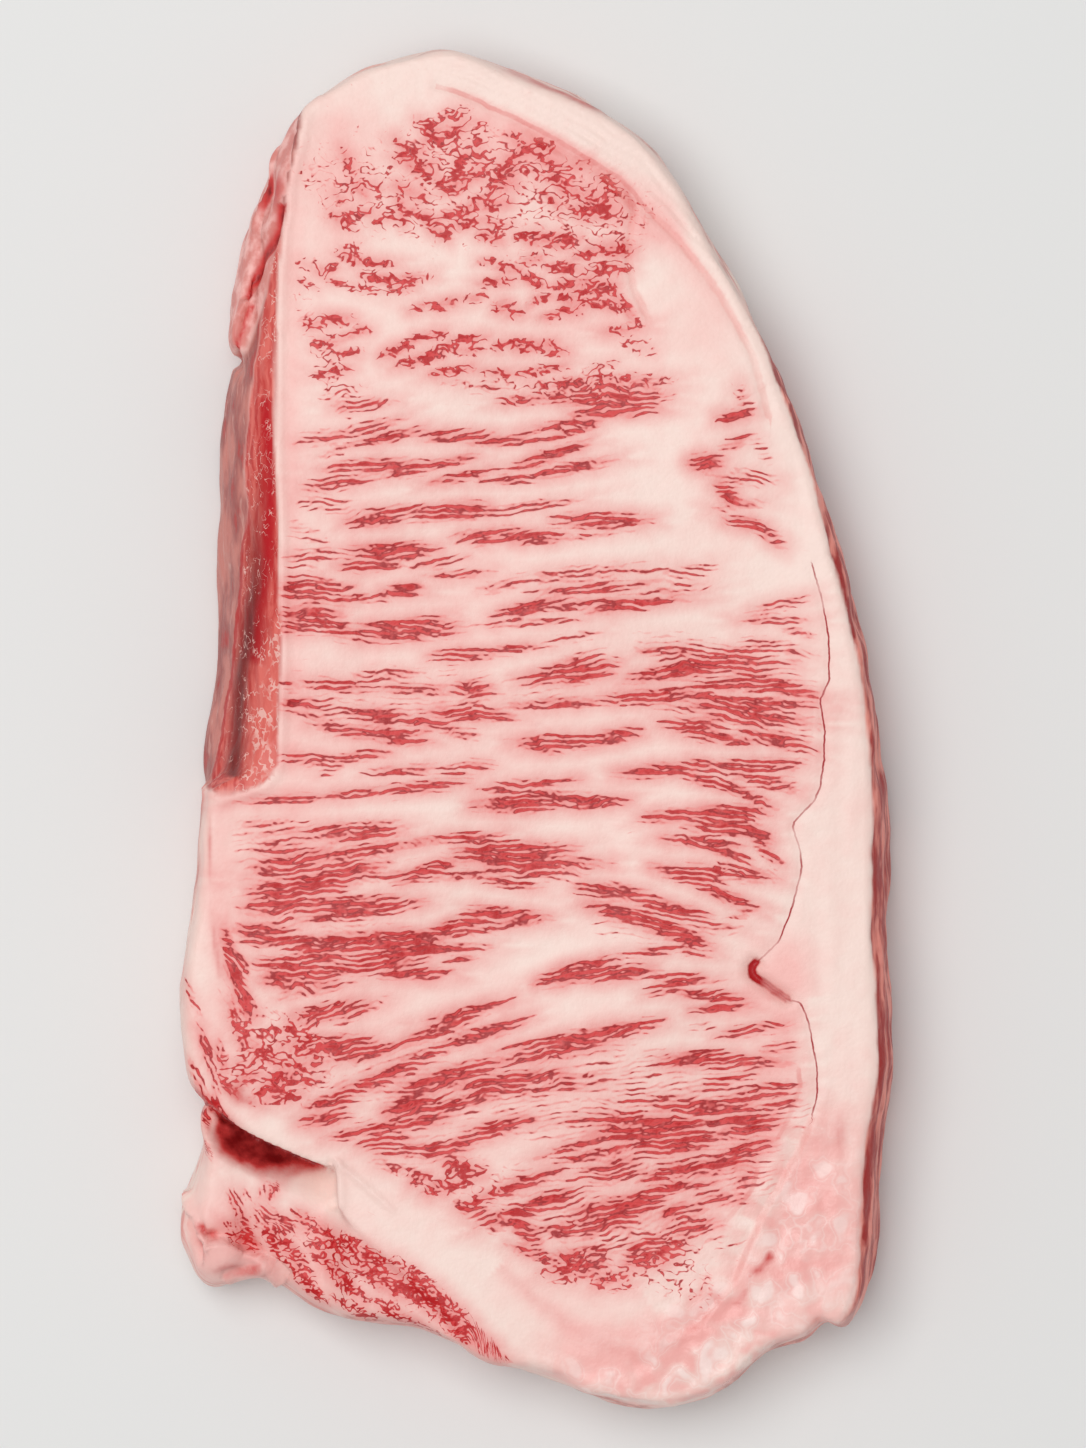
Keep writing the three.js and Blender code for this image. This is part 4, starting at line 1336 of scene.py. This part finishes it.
def waves(tree, where, fibre):
    """Strands and curls as waves from 0 to 1. Gives the curl of the fibre and the share of curls too."""
    cos, sin, curl = put(tree, "SeparateXYZ", {0: fibre}).outputs
    angle = times(tree, calc(tree, "ARCTAN2", sin, cos), 0.5)
    angle = linear(tree, uneven(tree, where, 5.0), linear(tree, curl, *WAVER), angle)
    place = pushed(tree, where, 3.8, linear(tree, curl, *PUSH))
    curls = strands(tree, place, angle, SHORT_PACKET, CURL_GAP, looseness=0.5)
    straight = mix(tree, 0.15, sheaf(tree, place, angle), curls)
    curly = linear(tree, curls, 0.42, linear(tree, lace(tree, place), 0.34, 0.05))
    curliness = ease(tree, linear(tree, uneven(tree, where, 9.0), 0.8, curl), 0.12, 0.55)
    return mix(tree, curliness, straight, curly), curl, curliness


# %% [markdown]
# The waves are cut at a level that sinks where a place has more lean. So a thin bundle keeps single strands
# and a thick one fills up. Cuts at other levels give the blush round a strand, its dark line and its core.

# %% Cut strands from the waves
def marbling_group():
    group, takes, gives = new_group(
        "marbling",
        {"Place": "vector", "Fibre": "vector", "Lean": "number"},
        {"Blush": "number", "Strand": "number", "Core": "number", "Line": "number"},
    )
    place, share = takes["Place"], takes["Lean"]
    wave, curl, curliness = waves(group, place, takes["Fibre"])
    clumps = uneven(group, place, 2.2)
    gain = linear(group, curliness, 0.15, 0.34)
    level = linear(group, calc(group, "POWER", share, 0.55), gain, calc(group, "SUBTRACT", wave, 0.85))
    level = linear(group, ease(group, share, 0.0, 0.10), 0.10, level)
    level = linear(group, clumps, linear(group, curl, 0.22, 0.20), level)

    faint = times(group, ease(group, level, -0.10, -0.05), 0.4)
    strand = ease(group, level, -0.03, 0.03)
    full = linear(group, ease(group, level, 0.0, 0.12), 0.28, 0.72)
    outline = inverse(group, ease(group, off(group, level, 0.045), 0.01, 0.055))
    outline = times(group, outline, ease(group, grain(group, place, 1.8), 0.25, 0.52))
    masks = {
        "Blush": linear(group, ease(group, level, -0.16, 0.03), 0.6, faint),
        "Strand": times(group, strand, full),
        "Core": ease(group, linear(group, clumps, 0.6, level), 0.13, 0.27),
        "Line": times(group, outline, strand),
    }
    for name, mask in masks.items():
        group.links.new(mask, gives[name])
    return group


marbling = marbling_group()
print("marbling:", len(marbling.nodes), "nodes")

# %% A thin line cut from a signed distance
def thin_line_group():
    group, takes, gives = new_group(
        "thin line",
        {"Place": "vector", "Distance": "vector", "Width": "number", "Waver": "number"},
        {"Mask": "number"},
    )
    signed, near, _ = put(group, "SeparateXYZ", {0: takes["Distance"]}).outputs
    push = calc(group, "SUBTRACT", grain(group, takes["Place"], 1.6), 0.5)
    away = calc(group, "ABSOLUTE", linear(group, push, takes["Waver"], signed))
    inside = inverse(group, ease(group, calc(group, "DIVIDE", away, takes["Width"]), 0.5, 1.3))
    group.links.new(times(group, inside, near), gives["Mask"])
    return group


thin_line = thin_line_group()


def line_mask(tree, where, name, width, waver):
    """A thin line from the distance that is stored under that name. Width and waver are in mm."""
    distance = attribute(tree, name, "Vector")
    return placed(tree, thin_line, Place=where, Distance=distance, Width=width, Waver=waver)["Mask"]


print("thin line:", len(thin_line.nodes), "nodes")

# %% [markdown]
# ## The material of the meat
# One material draws every tissue, because on real meat they run into each other. It starts with fat, tints
# it near the lean, lays the strands and their dark lines on top, and then covers the walls with silverskin,
# bare lean and dried skin wherever their masks say so. Every tissue has its own small function below, and
# they share a few noises, so that neighbouring tissues have the same grain.

# %% Noises that the tissues share
def shared_patterns(tree):
    place = scaled(tree, put(tree, "TexCoord").outputs["Object"], 1 / MM)
    mottle = grain(tree, place, 3.0, detail=4)
    upright = stretched(tree, pushed(tree, place, 6.0, 2.5), (1.0, 0.13, 0.6))
    flattened = stretched(tree, pushed(tree, place, 7.0, 3.0), (0.2, 0.2, 1.0))
    return {
        "place": place,
        "mottle": mottle,
        "speckle": grain(tree, place, 0.7),
        "lobes": grain(tree, pushed(tree, place, 6.0, 3.0), 4.0, detail=1.3),
        "layers": grain(tree, flattened, 1.5, detail=3),
        "fibrous": grain(tree, upright, 0.9, detail=3),
        "cloudy": grain(tree, stretched(tree, place, (1.0, 0.5, 1.0)), 4.5, detail=3),
        "stain_and_shade": times(tree, attribute(tree, "stain_and_shade"), linear(tree, mottle, 1.2, 0.4)),
    }


# %% [markdown]
# ## Fat
# Firm fat is nearly plain: cream where it is thick and pink towards the lean. Loose fat is a heap of small
# glossy lobes with pale webs between them, and down the walls fat shows its layers. They could be painted by
# hand, but a noise that is cut at a few levels does it for all of them, and never repeats.

# %% Firm fat, loose fat and layered fat
FAT_CREAM = colour(248, 221, 211)
FAT_PINK = colour(247, 188, 181)
LOOSE_PINK = colour(246, 166, 160)
LOOSE_PALE = colour(254, 236, 230)
LAYER_PINK = colour(236, 158, 150)
LAYER_PALE = colour(248, 224, 212)


def firm_fat(tree, pattern):
    """Cream to pink, the same on every face."""
    pinkness = calc(tree, "ADD", attribute(tree, "pink"), linear(tree, pattern["mottle"], 0.5, -0.25))
    return blend(tree, clamped(tree, pinkness), FAT_CREAM, FAT_PINK)


def lay_loose_fat(tree, shade, pattern):
    """Rosy lobes with pale webs between them, where the fat is lumpy."""
    lobes = pattern["lobes"]
    lumpy = times(tree, attribute(tree, "lumpy"), 0.6)
    webs = ease(tree, off(tree, lobes, 0.47), 0.03, 0.0)
    pale = calc(tree, "MAXIMUM", times(tree, webs, 0.5), ease(tree, lobes, 0.45, 0.33))
    shade = lay(tree, shade, ease(tree, lobes, 0.48, 0.66), lumpy, LOOSE_PINK)
    return lay(tree, shade, pale, lumpy, LOOSE_PALE)


def lay_fat_layers(tree, shade, pattern):
    """The layers that show where fat is cut down a wall."""
    wall = attribute(tree, "wall")
    shade = lay(tree, shade, wall, ease(tree, pattern["layers"], 0.50, 0.66), LAYER_PINK)
    return lay(tree, shade, wall, ease(tree, pattern["layers"], 0.46, 0.34), LAYER_PALE)


# %% [markdown]
# ## Lean and stains
# The strands come ready made from the marbling group. What they still need is a soft surround, as raw lean
# tints the fat round it. So the coats go on from the widest and palest to the thinnest and darkest. The
# stains come last, because juice lies on top of both.

# %% Lean in the fat
TINT = colour(234, 134, 131)
BLUSH = colour(238, 128, 124)
STRAND = colour(212, 32, 37)
CORE = colour(182, 4, 12)
STRAND_LINE = colour(152, 2, 14)


def lay_lean(tree, shade, pattern):
    """A tint, then the blush, the strands, their cores and their dark lines."""
    tinted = times(tree, attribute(tree, "tint"), linear(tree, pattern["mottle"], 0.6, 0.38))
    shade = blend(tree, tinted, shade, TINT)
    lean_share = attribute(tree, "lean")
    finer = scaled(tree, pattern["place"], linear(tree, attribute(tree, "in_lobe"), 0.25, 1.0))
    made = placed(tree, marbling, Place=finer, Fibre=attribute(tree, "fibre", "Vector"), Lean=lean_share)
    coats = (
        (lean_share, 0.34, TINT), (made["Blush"], 0.55, BLUSH), (made["Strand"], 0.88, STRAND),
        (made["Core"], 0.85, CORE), (made["Line"], 0.85, STRAND_LINE),
    )
    for share, strength, tone in coats:
        shade = lay(tree, shade, share, strength, tone)
    return shade


# %% Stains and painted shade
# The red of real stains. The same reds paint the shade in the pocket under the rim and along the nub's folds.
RED_STAIN_AND_SHADE = colour(206, 62, 60)
DEEP_STAIN_AND_SHADE = colour(126, 16, 18)


def lay_stain_and_shade(tree, shade, pattern, start=0.0, full=0.8):
    """Red stains and painted shade, which fade in from one level of the mask to another, and are dark where
    it is deepest. It is darkest in the pocket under the rim, where that dark red is partly painted shade.
    """
    shade = blend(tree, ease(tree, pattern["stain_and_shade"], start, full), shade, RED_STAIN_AND_SHADE)
    return blend(tree, ease(tree, pattern["stain_and_shade"], 0.6, 1.2), shade, DEEP_STAIN_AND_SHADE)


# %% [markdown]
# ## The tissues of the walls
# No knife cut the walls, so they show whole skins: silverskin with its sinews, a soft flap, lean laid bare
# along its fibres, and fat that has dried brown. An image of real skin would have to be stretched over the
# slopes. Noise that is drawn out along the wall gives each its own run of fibres on any slope.

# %% Silverskin and its flap
SILVER_PALE = colour(208, 130, 120)
SILVER_DARK = colour(166, 92, 88)
SINEW_AND_SHEEN = colour(222, 168, 158)
BRUISE = colour(190, 40, 38)
FLAP_PINK = colour(222, 138, 130)


def silverskin(tree, pattern):
    """Cloudy and tough, with pale streaks down it that are partly sinews and partly painted sheen, and a few
    bruises.
    """
    cloudy, fibrous = pattern["cloudy"], pattern["fibrous"]
    shade = blend(tree, ease(tree, cloudy, 0.38, 0.64), SILVER_DARK, SILVER_PALE)
    shade = lay(tree, shade, ease(tree, fibrous, 0.56, 0.72), 0.55, SINEW_AND_SHEEN)
    bruises = ease(tree, calc(tree, "SUBTRACT", cloudy, times(tree, fibrous, 0.3)), 0.27, 0.17)
    return lay(tree, shade, bruises, 0.6, BRUISE)


def flap(tree, pattern):
    shade = blend(tree, ease(tree, pattern["mottle"], 0.4, 0.65), FLAP_PINK, FAT_PINK)
    return lay_stain_and_shade(tree, shade, pattern, 0.1, 0.7)


# %% Bare lean
SALMON = colour(226, 112, 102)
BARE_RED = colour(190, 40, 38)
BARE_BRIGHT = colour(188, 14, 26)
BARE_DARK = colour(98, 8, 10)
FROTH = colour(244, 196, 186)


def bare_lean(tree, pattern):
    """Fine fibres down the wall, a bright and a dark band, and wisps of fat where it is frothy."""
    place, fibrous = pattern["place"], pattern["fibrous"]
    dark, bright, frothy = put(tree, "SeparateXYZ", {0: attribute(tree, "bare_tone", "Vector")}).outputs
    shade = blend(tree, ease(tree, fibrous, 0.35, 0.65), BARE_RED, SALMON)
    shade = lay(tree, shade, frothy, 0.6, SALMON)
    shade = blend(tree, bright, shade, BARE_BRIGHT)
    dark = clamped(tree, times(tree, dark, linear(tree, fibrous, 0.6, 0.55)))
    shade = blend(tree, dark, shade, BARE_DARK)
    wisps = grain(tree, stretched(tree, pushed(tree, place, 1.6, 2.6), (1.0, 0.55, 1.0)), 1.5, detail=1)
    wisps = ease(tree, linear(tree, frothy, -0.035, off(tree, wisps, 0.5)), 0.012, -0.006)
    wisps = times(tree, wisps, ease(tree, grain(tree, place, 4.0), 0.42, 0.62))
    return lay(tree, shade, wisps, 0.75, FROTH)


# %% Dried skin
SKIN_BROWN = colour(168, 30, 26)
SKIN_PALE = colour(244, 148, 134)


def dried_skin(tree, pattern):
    """Streaks along the wall, pale where the skin is thin."""
    lengthwise = stretched(tree, pushed(tree, pattern["place"], 5.0, 2.0), (1.0, 0.10, 0.55))
    clouds = times(tree, pattern["cloudy"], 0.3)
    streaks = linear(tree, grain(tree, lengthwise, 1.8, detail=3), 0.7, clouds)
    return blend(tree, ease(tree, streaks, 0.42, 0.60), SKIN_BROWN, SKIN_PALE)


# %% [markdown]
# ## Thin lines and gloss
# The seam and the membranes are finer than the mesh, so they are cut from the stored distances. Raw meat is
# wet, but not like glass. A middling roughness with a fine speckle, and tiny bumps that follow the colours,
# break its highlights up.

# %% Thin lines
# Each thin line is: its field, width and waver in mm, strength, and colour.
THIN_LINES = (
    ("seam", 0.17, 0.5, 1.0, colour(168, 18, 28)),
    ("edges", 0.45, 0.5, 0.5, colour(222, 106, 100)),
    ("inner_edges", 0.7, 0.7, 0.3, colour(234, 136, 128)),
    ("folds", 0.75, 0.5, 1.3, colour(176, 22, 28)),
)


def lay_lines(tree, shade, place):
    """The seam and the membranes, fainter in some places than in others."""
    fading = linear(tree, ease(tree, grain(tree, place, 6.0), 0.35, 0.6), 0.6, 0.4)
    for name, width, waver, strength, tone in THIN_LINES:
        mask = line_mask(tree, place, name, width, waver)
        shade = lay(tree, shade, mask, times(tree, fading, strength), tone)
    return shade


print("thin lines:", ", ".join(line[0] for line in THIN_LINES))

# %% Gloss and fine bumps
BUMP_HEIGHT = 0.25  # mm
BUMP_STRENGTH = 0.8
SPECULAR = 0.3  # wet, but under soft light


def add_gloss(tree, shader, pattern):
    """Loose fat is the wettest. The bumps follow the noises that the colours are drawn with."""
    lumpy = attribute(tree, "lumpy")
    dull = linear(tree, pattern["speckle"], 0.2, 0.32)
    tree.links.new(linear(tree, lumpy, -0.14, dull), shader.inputs["Roughness"])
    heights = (
        (attribute(tree, "lean"), -0.3), (pattern["speckle"], 0.3),
        (times(tree, pattern["lobes"], lumpy), -1.5),
        (times(tree, pattern["layers"], attribute(tree, "wall")), 2.0),
    )
    bumps = times(tree, pattern["mottle"], 0.6)
    for height, share in heights:
        bumps = linear(tree, height, share, bumps)
    sockets = {"Height": bumps, "Distance": BUMP_HEIGHT * MM, "Strength": BUMP_STRENGTH}
    tree.links.new(put(tree, "Bump", sockets).outputs[0], shader.inputs["Normal"])
    shader.inputs["Specular IOR Level"].default_value = SPECULAR
    shader.inputs["Subsurface Weight"].default_value = 0.0


# %% Build the material
RED_HEM = ("silver_edge", 0.3, 0.5)  # field, width and waver in mm of the dark line beside the bare lean
RED_HEM_STRENGTH = 0.8


def meat_material():
    material = bpy.data.materials.new("marbled_beef")
    material.use_nodes = True
    tree = material.node_tree
    shader = tree.nodes["Principled BSDF"]
    pattern = shared_patterns(tree)
    place = pattern["place"]

    shade = firm_fat(tree, pattern)
    for coat in (lay_loose_fat, lay_fat_layers, lay_lean, lay_stain_and_shade):
        shade = coat(tree, shade, pattern)
    for name, tissue in (("silver", silverskin), ("flap", flap), ("bare", bare_lean)):
        shade = blend(tree, attribute(tree, name), shade, tissue(tree, pattern))
    shade = lay(tree, shade, line_mask(tree, place, *RED_HEM), RED_HEM_STRENGTH, CORE)
    shade = blend(tree, attribute(tree, "skin"), shade, dried_skin(tree, pattern))
    tree.links.new(lay_lines(tree, shade, place), shader.inputs["Base Color"])
    add_gloss(tree, shader, pattern)
    return material


steak.data.materials.clear()
steak.data.materials.append(meat_material())
print(len(steak.active_material.node_tree.nodes), "nodes")

# %% [markdown]
# ## Finish
# The mesh stands in for the plain solid of the frame: same place, same size, and it moves with the same body.

# %% Hand over to the frame
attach(steak, "root")
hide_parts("steak")
